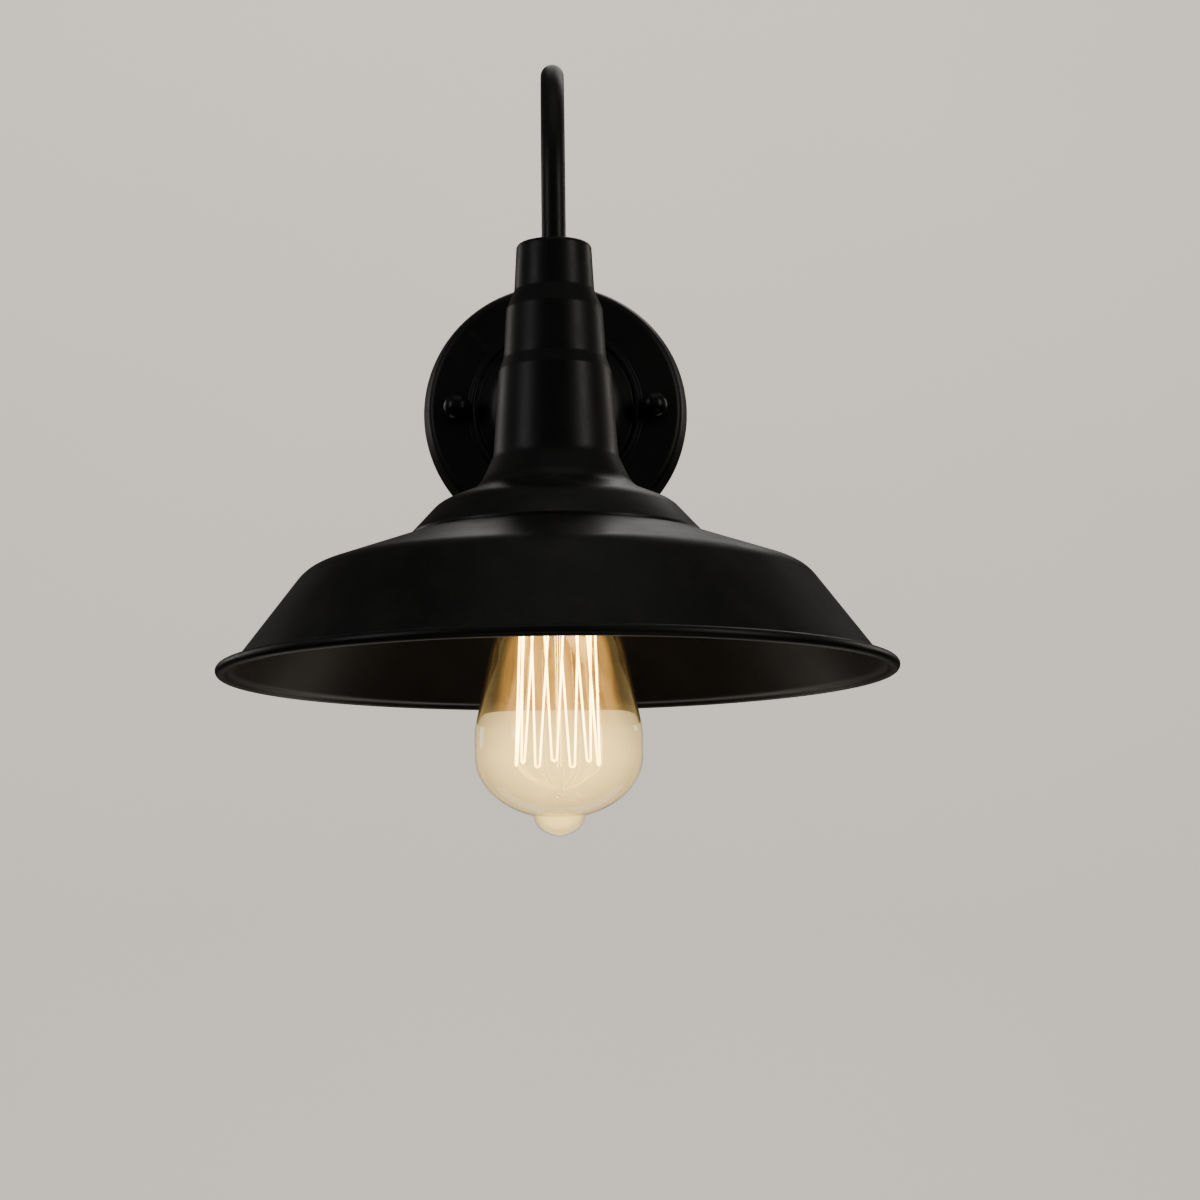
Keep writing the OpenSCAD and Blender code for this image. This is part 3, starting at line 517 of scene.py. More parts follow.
def glowing(name, slot, strength):
    """A hot wire, whitest at mid-height and deeper orange towards its hooks."""
    material, m, shader = new_finish(name, slot)
    low, high = (corner.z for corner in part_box("bulb_filament"))
    up = m.between(m.height(), low, low + 0.012)
    down = m.between(m.height(), high, high - 0.010)
    patch = m.between(m.noise(m.place(), 90.0, 2.0), 0.35, 0.65, 0.3, 1.0)
    heat = m.times(up, down, patch)
    colour = m.mix(heat, (1.0, 0.5, 0.06, 1), (1.0, 0.82, 0.3, 1))
    m.feed(shader.inputs["Emission Color"], colour)
    m.feed(shader.inputs["Base Color"], m.mix(heat, (0.25, 0.1, 0.03, 1), (0.6, 0.35, 0.1, 1)))
    set_sockets(shader, Emission_Strength=strength, Roughness=0.6)
    return material


def build_finishes(finish):
    """Every finish, by its own name: the record's slot, or ball_black."""
    build_groups()
    black, black_2 = tuple(finish.coat) + (1.0,), tuple(c * 1.5 for c in finish.coat) + (1.0,)
    made = {"ball_black": coated("Black ball coat", "black_coat", black, black_2, rough=(0.24, 0.36), rub=0.5)}
    # Kind, name, slot, two colours, and what differs from the kind's own roughness, grain, bump or glow
    for kind, name, slot, colour, second, more in (
            (coated, "Black powder coat", "black_coat", black[:3], black_2[:3], {}),
            (coated, "Green screw enamel", "ground_green", (0.02, 0.2, 0.07), (0.03, 0.26, 0.09),
             {"rough": (0.2, 0.35)}),
            (plated, "Zinc plate", "zinc_plate", (0.52, 0.53, 0.55), (0.68, 0.68, 0.66), {}),
            (plated, "Brass", "brass", (0.78, 0.55, 0.22), (0.88, 0.68, 0.34),
             {"rough": (0.18, 0.34), "flake": 180.0}),
            (plated, "Blackened screw", "dark_screw", (0.06, 0.06, 0.062), (0.1, 0.098, 0.095),
             {"rough": (0.3, 0.5)}),
            (plated, "Bulb cap metal", "cap_metal", (0.55, 0.54, 0.5), (0.66, 0.64, 0.6), {"rough": (0.2, 0.36)}),
            (plated, "Solder", "solder", (0.5, 0.5, 0.5), (0.62, 0.62, 0.6),
             {"rough": (0.3, 0.55), "flake": 700.0}),
            # The hook wire's glow is painted light from the filament
            (plated, "Hook wire", "hook_wire", (0.5, 0.42, 0.32), (0.62, 0.52, 0.4),
             {"rough": (0.25, 0.4), "glow": 1.2}),
            (plated, "Lead wire", "lead_wire", (0.66, 0.48, 0.3), (0.75, 0.58, 0.38), {"rough": (0.25, 0.4)}),
            (moulded, "Washer rubber", "washer_rubber", (0.012, 0.012, 0.012), (0.022, 0.022, 0.022),
             {"rough": (0.6, 0.75), "grain": 700.0}),
            (moulded, "Black wire cover", "black_wire", (0.012, 0.012, 0.012), (0.02, 0.02, 0.021), {}),
            (moulded, "White wire cover", "white_wire", (0.75, 0.74, 0.69), (0.66, 0.64, 0.58), {}),
            (moulded, "Green wire cover", "green_wire", (0.02, 0.25, 0.06), (0.03, 0.32, 0.09), {}),
            (moulded, "Orange wire nut", "orange_cap", (0.8, 0.22, 0.02), (0.72, 0.17, 0.015), {}),
            (moulded, "Black glass", "black_glass", (0.006, 0.006, 0.008), (0.01, 0.01, 0.012),
             {"rough": (0.06, 0.14), "grain": 60.0, "bump": 0.05})):
        made[slot] = kind(name, slot, (*colour, 1.0), (*second, 1.0), **more)
    made["porcelain"] = glazed("Glazed porcelain", "porcelain")
    made["gasket_foam"] = foam("Foam gasket", "gasket_foam")
    made["amber_glass"] = blown_glass("Amber bulb glass", "amber_glass", (*finish.glass, 1.0),
                                      glow=finish.painted_glass_glow)
    made["clear_glass"] = blown_glass("Clear stem glass", "clear_glass", (0.98, 0.98, 0.97, 1.0), ripple=0.4)
    made["glowing_filament"] = glowing("Glowing filament", "glowing_filament", finish.glow)
    return made


FINISHES = {}


def placed(name, data):
    """A new object in the scene, with its data."""
    thing = bpy.data.objects.new(name, data)
    bpy.context.scene.collection.objects.link(thing)
    return thing


def in_metres(name, shell):
    """An object whose mesh is a shell of millimetres."""
    points, faces = shell
    mesh = bpy.data.meshes.new(name)
    mesh.from_pydata((np.asarray(points) * MM).tolist(), [], [f for part in faces for f in part.tolist()])
    return placed(name, mesh)


def smoothed(mesh, sharp=SHARP):
    """Smooth shading, with sharp edges where two faces meet at more than that many degrees."""
    mesh.shade_smooth()
    mesh.set_sharp_from_angle(angle=math.radians(sharp))


def make_piece(name, body, slot, shell, node, sharp=SHARP, finish=None):
    """Makes a piece of a shell, and gives it its body, slot and finish, and the CAD node that it replaces."""
    piece = in_metres(name, shell)
    piece.data.validate()
    smoothed(piece.data, sharp)
    piece.data.materials.append(FINISHES[finish or slot])
    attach(piece, body)
    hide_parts(node)
    return piece


def cut_out(piece, shell):
    """Cuts a closed shell out of a piece with the exact Boolean, and removes the shell."""
    cutter = in_metres("cutter", shell)
    cut = piece.modifiers.new("Holes", "BOOLEAN")
    cut.operation, cut.solver, cut.object = "DIFFERENCE", "EXACT", cutter
    bpy.context.view_layer.update()
    made = bpy.data.meshes.new_from_object(piece.evaluated_get(bpy.context.evaluated_depsgraph_get()))
    piece.modifiers.remove(cut)
    piece.data = made
    made.name = piece.name
    bpy.data.objects.remove(cutter)
    smoothed(made)


def pin(r, low, high):
    """A plain closed cylinder on the third axis, as a cutter."""
    return turned([[0, low], [r, low], [r, high], [0, high]], 40)


def bar(x, y, low, high):
    """A closed box of half sides x and y, as a cutter."""
    corners = np.array([[-y, -x], [y, -x], [y, x], [-y, x]], float)
    return carried([[0, 0, low], [0, 0, high]], corners, (0, 1, 0))


def upright_line(r, rows):
    """A straight stretch of an outline: radius r at each of the heights."""
    return np.stack([np.full_like(rows, r), rows], 1)


# ---- Settings ----

class LanternFinish(bpy.types.PropertyGroup):
    """Colours and glow of the lantern."""

    coat: FloatVectorProperty(name="Coat", description="Colour of the powder coat", subtype="COLOR", size=3,
                              min=0, max=1, default=(0.0045, 0.0043, 0.0041))
    glass: FloatVectorProperty(name="Glass", description="Tint of the bulb's glass", subtype="COLOR", size=3,
                               min=0, max=1, default=(1.0, 0.9, 0.62))
    # Strength of the painted glow: emission on the glass that stands in for the filament's light in it
    painted_glass_glow: FloatProperty(name="Glass glow", description="Strength of the light that the glass catches",
                              min=0, max=2, default=0.95)
    glow: FloatProperty(name="Glow", description="Strength of the filament's light", min=0, max=200, default=20.0)


class LanternShape(bpy.types.PropertyGroup):
    """Fineness and small shapes of the surfaces."""

    sides: IntProperty(name="Sides", description="Number of sides of the large turned pieces", min=48, max=256,
                       default=192)
    thread_depth: FloatProperty(name="Thread depth", description="Depth of the bulb cap's rolled thread",
                                unit="LENGTH", min=0.0001, max=0.0006, default=0.00038)
    cap_pitch: FloatProperty(name="Cap pitch", description="Height of one turn of the bulb cap's thread",
                             unit="LENGTH", min=0.002, max=0.005, default=0.003629)


class LanternStudio(bpy.types.PropertyGroup):
    """Floor, light and camera."""

    floor_height: FloatProperty(name="Floor", description="Height of the floor", unit="LENGTH", default=-1.15)
    backdrop_distance: FloatProperty(name="Backdrop", unit="LENGTH", min=1.5, default=3.2,
                                     description="How far the backdrop stands behind the wall plate")
    floor_colour: FloatVectorProperty(name="Floor colour", description="Colour of floor and backdrop",
                                      subtype="COLOR", size=3, min=0, max=1, default=(0.74, 0.7, 0.64))
    bulb_power: FloatProperty(name="Bulb power", description="Light that the burning bulb gives, in watts", min=0,
                              default=0.35)
    camera_distance: FloatProperty(name="Camera distance", description="Distance from the wall to the camera",
                                   unit="LENGTH", default=1.286)
    camera_height: FloatProperty(name="Camera height", unit="LENGTH", default=-0.2624,
                                 description="Height of the camera from the middle of the plate")
    camera_pitch: FloatProperty(name="Camera pitch", description="How far the camera looks up", subtype="ANGLE",
                                default=math.radians(7.84))
    camera_yaw: FloatProperty(name="Camera yaw", description="How far the camera looks to the right",
                              subtype="ANGLE", default=math.radians(0.86))
    camera_roll: FloatProperty(name="Camera roll", description="How far the camera leans to the right",
                               subtype="ANGLE", default=math.radians(0.7))
    lens: FloatProperty(name="Lens", description="Focal length on a 36 mm sensor, in millimetres", default=85.86)


# ---- Operators ----

# The studio's soft lights: name, place, what it points at, its two sides, power in watts, colour, and whether
# it is seen through the glass
SOFT_LIGHTS = (
    ("Left soft box", (-1.5, -1.0, 0.5), (0, -0.15, -0.05), (0.3, 1.1), 4, (0.97, 0.98, 1.0), True),
    ("Right soft box", (1.4, -1.1, 0.45), (0, -0.15, -0.05), (0.26, 1.1), 5.5, (1.0, 0.97, 0.92), True),
    ("Top soft box", (0.1, -0.5, 1.6), (0, -0.1, 0), (1.4, 1.0), 1.2, (1.0, 0.97, 0.94), True),
    ("Back light", (0.3, 1.5, 1.3), (0, 0, 0), (1.2, 0.8), 5, (1.0, 0.97, 0.94), True),
    ("Low soft box", (0.1, -0.75, -0.95), (0, -0.2, -0.1), (1.2, 0.25), 0.9, (1.0, 0.96, 0.9), True),
    ("Low back light", (0, 0.5, -0.78), (0, -0.2, -0.1), (1.4, 0.3), 1.8, (1.0, 0.93, 0.84), False),
    ("Backdrop light", (0, 1.2, 1.9), (0, 3.2, 0.8), (3.0, 0.8), 30, (1.0, 0.92, 0.8), True),
    ("Rear left soft box", (-1.7, 1.3, 0.5), (0, -0.15, 0), (0.5, 1.0), 4, (1.0, 0.96, 0.92), False),
    ("Rear right soft box", (1.7, 1.3, 0.6), (0, -0.15, 0), (0.5, 1.0), 4, (1.0, 0.93, 0.86), False),
)


def soft_light(name, place, aim, size, power, colour, through_glass):
    """An area light at place that points at aim."""
    data = bpy.data.lights.new(name, "AREA")
    data.shape, data.size, data.size_y = "RECTANGLE", size[0], size[1]
    data.energy, data.color = power, colour
    light = placed(name, data)
    light.location = place
    light.visible_transmission = through_glass
    light.rotation_euler = (Vector(aim) - Vector(place)).to_track_quat("-Z", "Y").to_euler()


def seen(m):
    """1 for what the camera sees, straight on or through the glass, and 0 for every other ray."""
    path = m.node("ShaderNodeLightPath").outputs
    return m.maths("MAXIMUM", path["Is Camera Ray"], path["Is Transmission Ray"])


class LANTERN_OT_stage(bpy.types.Operator):
    """Make the floor with its backdrop, the studio light and the camera"""

    bl_idname = "lantern.stage"
    bl_label = "Stage"

    def execute(self, context):
        studio = context.scene.lantern_studio
        # A floor that bends up into a backdrop: a line of two straights and a quarter circle, carried sideways
        low, back = studio.floor_height, studio.backdrop_distance
        angle = np.radians(np.linspace(-90, 0, 25))
        bend = np.stack([back - 1 + np.cos(angle), low + 1 + np.sin(angle)], 1)
        line = np.concatenate([[[-5.0, low]], bend, [[back, 5.0]]])
        x = np.array([-7.0, 7.0])
        points = np.stack([np.repeat(x, len(line)), np.tile(line[:, 0], 2), np.tile(line[:, 1], 2)], 1)
        mesh = bpy.data.meshes.new("Floor")
        mesh.from_pydata(points.tolist(), [], grid_faces(2, len(line), False, False).tolist())
        mesh.shade_smooth()
        floor = placed("Floor", mesh)
        material, m, shader = new_finish("Pale paper", "")
        tone = m.noise(m.place(), 1.5, 2.0)
        colour = tuple(studio.floor_colour) + (1.0,)
        paper = m.mix(m.between(tone, 0.3, 0.7), colour, tuple(c * 0.985 for c in colour[:3]) + (1.0,))
        # The paper is pale and evenly lit where it is seen, and counts as dark for reflections and bounced
        # light, so that the black coat stays black
        m.feed(shader.inputs["Base Color"], m.mix(seen(m), (0.1, 0.1, 0.1, 1), paper))
        m.feed(shader.inputs["Emission Color"], m.mix(seen(m), (0, 0, 0, 1), paper))
        set_sockets(shader, Roughness=0.95, Specular_IOR_Level=0.1, Emission_Strength=0.85)
        mesh.materials.append(material)

        world = context.scene.world or bpy.data.worlds.new("World")
        context.scene.world = world
        world.use_nodes = True
        background = world.node_tree.nodes["Background"]
        background.inputs["Color"].default_value = (0.88, 0.86, 0.83, 1)
        # The open side of the studio looks pale, and lights the lantern only a little
        w = Maker(world.node_tree)
        w.feed(background.inputs["Strength"], w.between(seen(w), 0.0, 1.0, 0.1, 0.9))

        for light in SOFT_LIGHTS:
            soft_light(*light)

        data = bpy.data.cameras.new("Camera")
        data.sensor_width, data.lens = 36.0, studio.lens
        data.clip_start, data.clip_end = 0.01, 50.0
        camera = placed("Camera", data)
        turn = (Matrix.Rotation(-studio.camera_yaw, 4, "Z")
                @ Matrix.Rotation(math.pi / 2 + studio.camera_pitch, 4, "X")
                @ Matrix.Rotation(-studio.camera_roll, 4, "Z"))
        camera.matrix_world = Matrix.Translation((0, -studio.camera_distance, studio.camera_height)) @ turn
        context.scene.camera = camera

        # The burning bulb's own light, a ball at the middle of its filament
        data = bpy.data.lights.new("Bulb light", "POINT")
        data.energy, data.color, data.shadow_soft_size = studio.bulb_power, (1.0, 0.72, 0.42), 0.02
        light = placed("Bulb light", data)
        light.visible_transmission = light.visible_glossy = False
        light.location = (0, -REACH * MM, (HIGH_Z + LOW_Z) / 2 * MM)
        return {"FINISHED"}


class LANTERN_OT_finishes(bpy.types.Operator):
    """Make every finish and give the CAD nodes that stay in view theirs"""

    bl_idname = "lantern.finishes"
    bl_label = "Finishes"

    def execute(self, context):
        FINISHES.clear()
        FINISHES.update(build_finishes(context.scene.lantern_finish))
        slots = {part["node"]: part["material_slot"] for part in frame["record"]["subparts"]}
        for name, node in frame["nodes"].items():
            if name not in slots:
                raise RuntimeError(f"the record gives {name} no material slot")
            node.data.materials.clear()
            node.data.materials.append(FINISHES[slots[name]])
        return {"FINISHED"}


STUD_R, STUD_BORE, STUD_END = 2.085, 2.135, 24.0


def stud(x):
    """A stud out of the wall at x, threaded to its chamfered end."""
    line = np.concatenate([[[0, 0], [STUD_R - 0.3, 0], [STUD_R, 0.35]],
                           upright_line(STUD_R, np.arange(0.4, STUD_END - 0.4, STUD_PITCH / 7)),
                           [[STUD_R, STUD_END - 0.4], [STUD_R - 0.4, STUD_END], [0, STUD_END]]])
    return out_of_wall(turned(line, 28, thread(0.22, STUD_PITCH, 2.2, STUD_END)), x)


class LANTERN_OT_mounting(bpy.types.Operator):
    """Make the gasket, and the studs with their lock nuts"""

    bl_idname = "lantern.mounting"
    bl_label = "Mounting"

    def execute(self, context):
        gasket = rounded([[53.5, 1], [53.5, 0], [60, 0], [60, 2], [53.5, 2], [53.5, 1]],
                         [0.25, 0.45, 0.45, 0.25], 5)
        make_piece("wall_gasket_foam", "lamp", "gasket_foam", out_of_wall(turned(gasket[:-1], 160)),
                   "wall_gasket")
        make_piece("mounting_stud_pair", "lamp", "zinc_plate", joined(stud(-STUD_X), stud(STUD_X)),
                   "mounting_studs")
        nut = hexagon_nut(8.7, 3.2, STUD_BORE, STUD_PITCH, 0.4)
        make_piece("stud_lock_nut_pair", "lamp", "zinc_plate",
                   joined(out_of_wall(nut, -STUD_X, 2, 10), out_of_wall(nut, STUD_X, 2, 24)), "stud_lock_nuts")
        return {"FINISHED"}


PLATE = [[4.3, 26], [14, 26], [27.75, 22.48], [35.5, 15], [36.9, 16.6], [38.1, 16.6], [39.5, 15], [57, 15],
         [60, 4.5], [60, 2]]
PLATE_RADII = [6, 13, 1, 1, 1, 1, 3.6, 4]


class LANTERN_OT_backplate(bpy.types.Operator):
    """Press the round wall plate, with its raised ring, its dome and the holes for the studs"""

    bl_idname = "lantern.backplate"
    bl_label = "Wall plate"

    def execute(self, context):
        outline = np.concatenate([rounded(PLATE, PLATE_RADII, 10),
                                  wall_inside(PLATE, PLATE_RADII, SHEET, 10)[::-1]])
        plate = make_piece("wall_plate", "lamp", "black_coat",
                           out_of_wall(turned(outline, context.scene.lantern_shape.sides)), "backplate")
        cut_out(plate, joined(*(out_of_wall(pin(2.385, 10, 18), x) for x in (-STUD_X, STUD_X))))
        return {"FINISHED"}


# The arm's heel behind the plate's dome and its arch over the neck, and the sizes of its tube
HEEL_Y, HEEL_R, ARCH_R, ARCH_Z, NECK_TOP = 34.0, 32.0, 67.0, 46.55, 27.0
ARCH_Y = REACH - ARCH_R
TUBE_R, TUBE_BORE_R, SPIGOT_R, SPIGOT_PITCH, TUBE_SIDES = 4.75, 3.0, 4.0, 0.94, 56


def arm_line():
    """The middle of the arm tube from its rear end to its front end: straight out of the wall, a quarter circle
    up, straight up, a half circle over, and straight down. Each point is (0, -distance from the wall, height).
    With it come the numbers of the points at the rear and the front shoulder."""
    rear = np.concatenate([np.arange(17.5, 26, 0.12), [26.0, 26.0, 27.0, 30.0]])
    heel = np.radians(np.linspace(0, 90, 33))
    over = np.radians(np.linspace(0, 180, 73))
    front = np.concatenate([[40.0, 33.0, 28.0, NECK_TOP, NECK_TOP], np.arange(NECK_TOP - 0.1, 18, -0.12), [18.0]])
    y = np.concatenate([rear, HEEL_Y + HEEL_R * np.sin(heel), [HEEL_Y + HEEL_R], ARCH_Y - ARCH_R * np.cos(over),
                        np.full(len(front), REACH)])
    z = np.concatenate([np.zeros(len(rear)), HEEL_R - HEEL_R * np.cos(heel), [41.0],
                        ARCH_Z + ARCH_R * np.sin(over), front])
    return np.stack([np.zeros_like(y), -y, z], 1), len(rear) - 3, len(y) - len(front) + 4


def sleeve(line, ways, index, radii, sides):
    """A closed skin of rings about a line: ring k lies at line[index[k]] with radius radii[k], in the plane
    across ways[index[k]], and the last ring joins the first. radii may have a column for each side."""
    ways = ways / np.linalg.norm(ways, axis=1)[:, None]
    u = np.cross(ways, np.broadcast_to((1.0, 0, 0), ways.shape))
    v = np.cross(ways, u)
    a = 2 * math.pi * np.arange(sides) / sides
    radii = np.broadcast_to(radii, (len(index), sides))[..., None]
    points = (line[index][:, None] + radii * (np.cos(a)[None, :, None] * u[index][:, None]
                                              + np.sin(a)[None, :, None] * v[index][:, None]))
    return outward(points.reshape(-1, 3), [grid_faces(len(index), sides, True, True)])


class LANTERN_OT_arm(bpy.types.Operator):
    """Bend the gooseneck tube with its threaded ends, and make its collar and lock nuts"""

    bl_idname = "lantern.arm"
    bl_label = "Arm"

    def execute(self, context):
        line, rear_shoulder, front_shoulder = arm_line()
        spaced = line + np.linspace(0, 1e-6, len(line))[:, None] * np.array([0, 0, 1.0])
        ways = np.gradient(spaced, axis=0)
        ways[:rear_shoulder + 2] = (0, -1, 0)
        ways[front_shoulder - 1:] = (0, 0, -1)
        k = np.arange(len(line))
        a = 2 * math.pi * np.arange(TUBE_SIDES) / TUBE_SIDES
        outer = np.full((len(line), TUBE_SIDES), TUBE_R)
        for spigot in (k <= rear_shoulder, k >= front_shoulder):
            run = np.where(spigot, np.abs(line[:, 1]) if spigot[0] else line[:, 2], 0)
            ends = np.clip(np.minimum(k, k[::-1]) / 6, 0, 1)[:, None]
            cut = 0.3 * wave(run[:, None] / SPIGOT_PITCH, a) * ends + 0.35 * (1 - ends)
            outer = np.where(spigot[:, None], SPIGOT_R - cut, outer)
        index = np.concatenate([k, k[::-1]])
        radii = np.concatenate([outer, np.full_like(outer, TUBE_BORE_R)])
        make_piece("gooseneck_tube", "lamp", "black_coat", sleeve(line, ways, index, radii, TUBE_SIDES),
                   "arm_tube")
        collar = rounded([[4.8, 26], [13, 26], [13, 29.5], [6.95, 32], [4.8, 32], [4.8, 26]],
                         [0.3, 2, 1.2, 0.3], 8)
        make_piece("gooseneck_collar", "lamp", "black_coat", out_of_wall(turned(collar[:-1], 96)), "arm_collar")
        nut = hexagon_nut(13, 4, SPIGOT_R + 0.05, SPIGOT_PITCH, 0.5)
        make_piece("gooseneck_lock_nuts", "lamp", "zinc_plate",
                   joined(moved(nut, (0, -23.2, 0), 0, INTO_WALL),
                          moved(nut, (0, -REACH, 23.5), 0, DOWNWARD)), "arm_lock_nuts")
        return {"FINISHED"}


HOLDER_LOW, HOLDER_TOP = -88.397, -40.397


def wire_line(side):
    """The middle of one wire: from its wire nut through the arm to its terminal. side is 1 for live, -1 for
    neutral, and the two lie 1.25 mm either side of the tube's middle."""
    x, hang = side * 1.25, -REACH - side * 11
    tail = smooth_route([[side * 16, -8, 22], [side * 16, -8, 18.5], [side * 16, -8, 15], [side * 13.5, -8, 10],
                         [side * 8, -9, 5.5], [side * 2.6, -13, 2], [x, -16.5, 0], [x, -26, 0], [x, -34, 0]], 8)
    heel = np.radians(np.linspace(0, 90, 19))[1:]
    over = np.radians(np.linspace(0, 180, 49))
    bent = np.stack([np.full(18, x), -HEEL_Y - HEEL_R * np.sin(heel), HEEL_R - HEEL_R * np.cos(heel)], 1)
    arch = np.stack([np.full(49, x), -ARCH_Y + ARCH_R * np.cos(over), ARCH_Z + ARCH_R * np.sin(over)], 1)
    down = smooth_route([[x, -REACH, NECK_TOP], [x, -REACH, 16], [side * 0.9, -REACH - side * 3, -7.2],
                         [side * 0.3, -REACH - side * 9, -25.4], [0, hang, -31.4], [0, hang, -34.4],
                         [0, hang, -37.9]], 8)
    return np.concatenate([tail, bent, arch, down])


class LANTERN_OT_wiring(bpy.types.Operator):
    """Lay the wires through the arm, with their wire nuts, and the ground wire"""

    bl_idname = "lantern.wiring"
    bl_label = "Wiring"

    def execute(self, context):
        for name, slot, side in (("live_wire", "black_wire", 1), ("neutral_wire", "white_wire", -1)):
            make_piece(f"{name}_lead", "lamp", slot, rod(wire_line(side), 1.1, sides=14), name)

        rows = np.concatenate([np.linspace(0.2, 7, 12), np.linspace(7.2, 18.4, 24)])
        r = np.where(rows <= 7, 5.0, 4.6 - 1.8 * (rows - 7) / 12)
        line = np.concatenate([[[0, 6], [1.2, 6], [1.2, 0], [4.8, 0]], np.stack([r, rows], 1),
                               [[2.4, 19], [0, 19]]])

        def ribbed(r, a, h):
            fade = np.clip((r - 2.6) / 0.6, 0, 1) * np.clip(h / 1.5, 0, 1)
            rib = 0.22 * (0.5 + 0.5 * np.cos(20 * a)) * fade
            wing = np.clip(1 - np.abs(np.sin(a)) / 0.16, 0, 1) ** 0.5 * (h > 1) * (h < 10) * (r > 2)
            return np.maximum(r - rib, wing * 5.38 + (1 - wing) * (r - rib))
        cap = turned(line, 120, ribbed)
        make_piece("wire_nut_pair", "lamp", "orange_cap",
                   joined(moved(cap, (-16, -8, 17)), moved(cap, (16, -8, 17))), "wire_nuts")

        out = np.array([math.cos(math.radians(60)), 0, -math.sin(math.radians(60))])
        start = np.array([0, -22.4, 0])
        hook = np.radians(-110 + 215 * np.arange(19) / 18)
        ring = np.stack([20 + 3.6 * np.cos(hook), np.full(19, -3.1), 3.6 * np.sin(hook)], 1)
        line = smooth_route([start + out * 9.5, start + out * 14, start + out * 16, [12, -15, -15.5],
                             [16, -7, -12.5], [18.4, -3.3, -7], ring[0]], 7)
        make_piece("ground_wire_lead", "lamp", "green_wire", rod(np.concatenate([line, ring[1:]]), 0.99),
                   "ground_wire")
        return {"FINISHED"}


NECK = [[4.15, NECK_TOP], [14.6, NECK_TOP], [15.6, 8.5], [18.7, 1], [19.9, -18.5], [21.8, -23.5], [24.1, -57],
        [30, -69.5], [45.5, -76], [56.1, -87.5], [56.1, -88.5]]
NECK_RADII = [2, 3, 3, 2, 2, 10, 12, 14, 0.35]
SHADE = [[21.6, -86.397], [50, -86.397], [96.5, -102.697], [124.2, -139.197], [125.805, -139.733]]
SHADE_RADII = [4, 16, 2.2]
SCREW_TURNS, SCREW_CIRCLE_R, SCREW_HOLE_R, SCREW_Z = (90, 210, 330), 38.0, 2.3, -87.597


def at_shade_screws(shell, height):
    """Three of a shell on the screw circle."""
    turns = np.radians(SCREW_TURNS)
    x, y = SCREW_CIRCLE_R * np.cos(turns), SCREW_CIRCLE_R * np.sin(turns) - REACH
    return joined(*(moved(shell, (x[k], y[k], height), t) for k, t in enumerate(SCREW_TURNS)))


class LANTERN_OT_neck(bpy.types.Operator):
    """Spin the stepped neck cup with its flare, dome and screw flange"""

    bl_idname = "lantern.neck"
    bl_label = "Neck cup"

    def execute(self, context):
        inside = wall_inside(NECK[:-1], NECK_RADII[:-1], SHEET, 10)
        flange = [[50, -86.377], [30, -86.377], [30, -85.177], [50, -85.177]]
        outline = np.concatenate([rounded(NECK, NECK_RADII, 10), flange, inside[inside[:, 1] > -84.177][::-1]])
        neck = make_piece("neck_cup_spun", "lamp", "black_coat",
                          spun(outline, context.scene.lantern_shape.sides), "neck_cup")
        cut_out(neck, at_shade_screws(pin(SCREW_HOLE_R, -2, 3), -86))
        return {"FINISHED"}


class LANTERN_OT_shade(bpy.types.Operator):
    """Spin the wide shade with its rolled rim, and put in its three screws with their nuts"""

    bl_idname = "lantern.shade"
    bl_label = "Shade"

    def execute(self, context):
        bead = arc((127.85, -140.397), 2.15, 150, -150, 30)
        outline = np.concatenate([rounded(SHADE, SHADE_RADII, 14), bead,
                                  wall_inside(SHADE, SHADE_RADII, SHEET, 14)[::-1]])
        shade = make_piece("shade_spun", "lamp", "black_coat",
                           spun(outline, context.scene.lantern_shape.sides), "shade")
        cut_out(shade, at_shade_screws(pin(SCREW_HOLE_R, -3, 3), -87))

        rows = np.arange(0.3, 6.6, 0.1)
        dome = arc((0, 3.3), 5.5, 270, 270 + 38, 8)
        line = np.concatenate([dome, [[3.6, -1.0], [3.6, 0], [2, 0]], upright_line(2.0, rows),
                               [[1.6, 7], [0, 7]]])
        line[0, 0] = 0
        screw = turned(line, 48, thread(0.25, 0.7, 0.6, 7))
        screws = make_piece("shade_screw_set", "lamp", "dark_screw", at_shade_screws(screw, SCREW_Z),
                            "shade_screws")
        for x, y in ((2, 0.4), (0.4, 2)):
            cut_out(screws, at_shade_screws(bar(x, y, -3, -1.0), SCREW_Z))
        make_piece("shade_nut_set", "lamp", "zinc_plate",
                   at_shade_screws(hexagon_nut(7, 3.2, 2.05, 0.7, 0.35), -85.177), "shade_nuts")
        return {"FINISHED"}


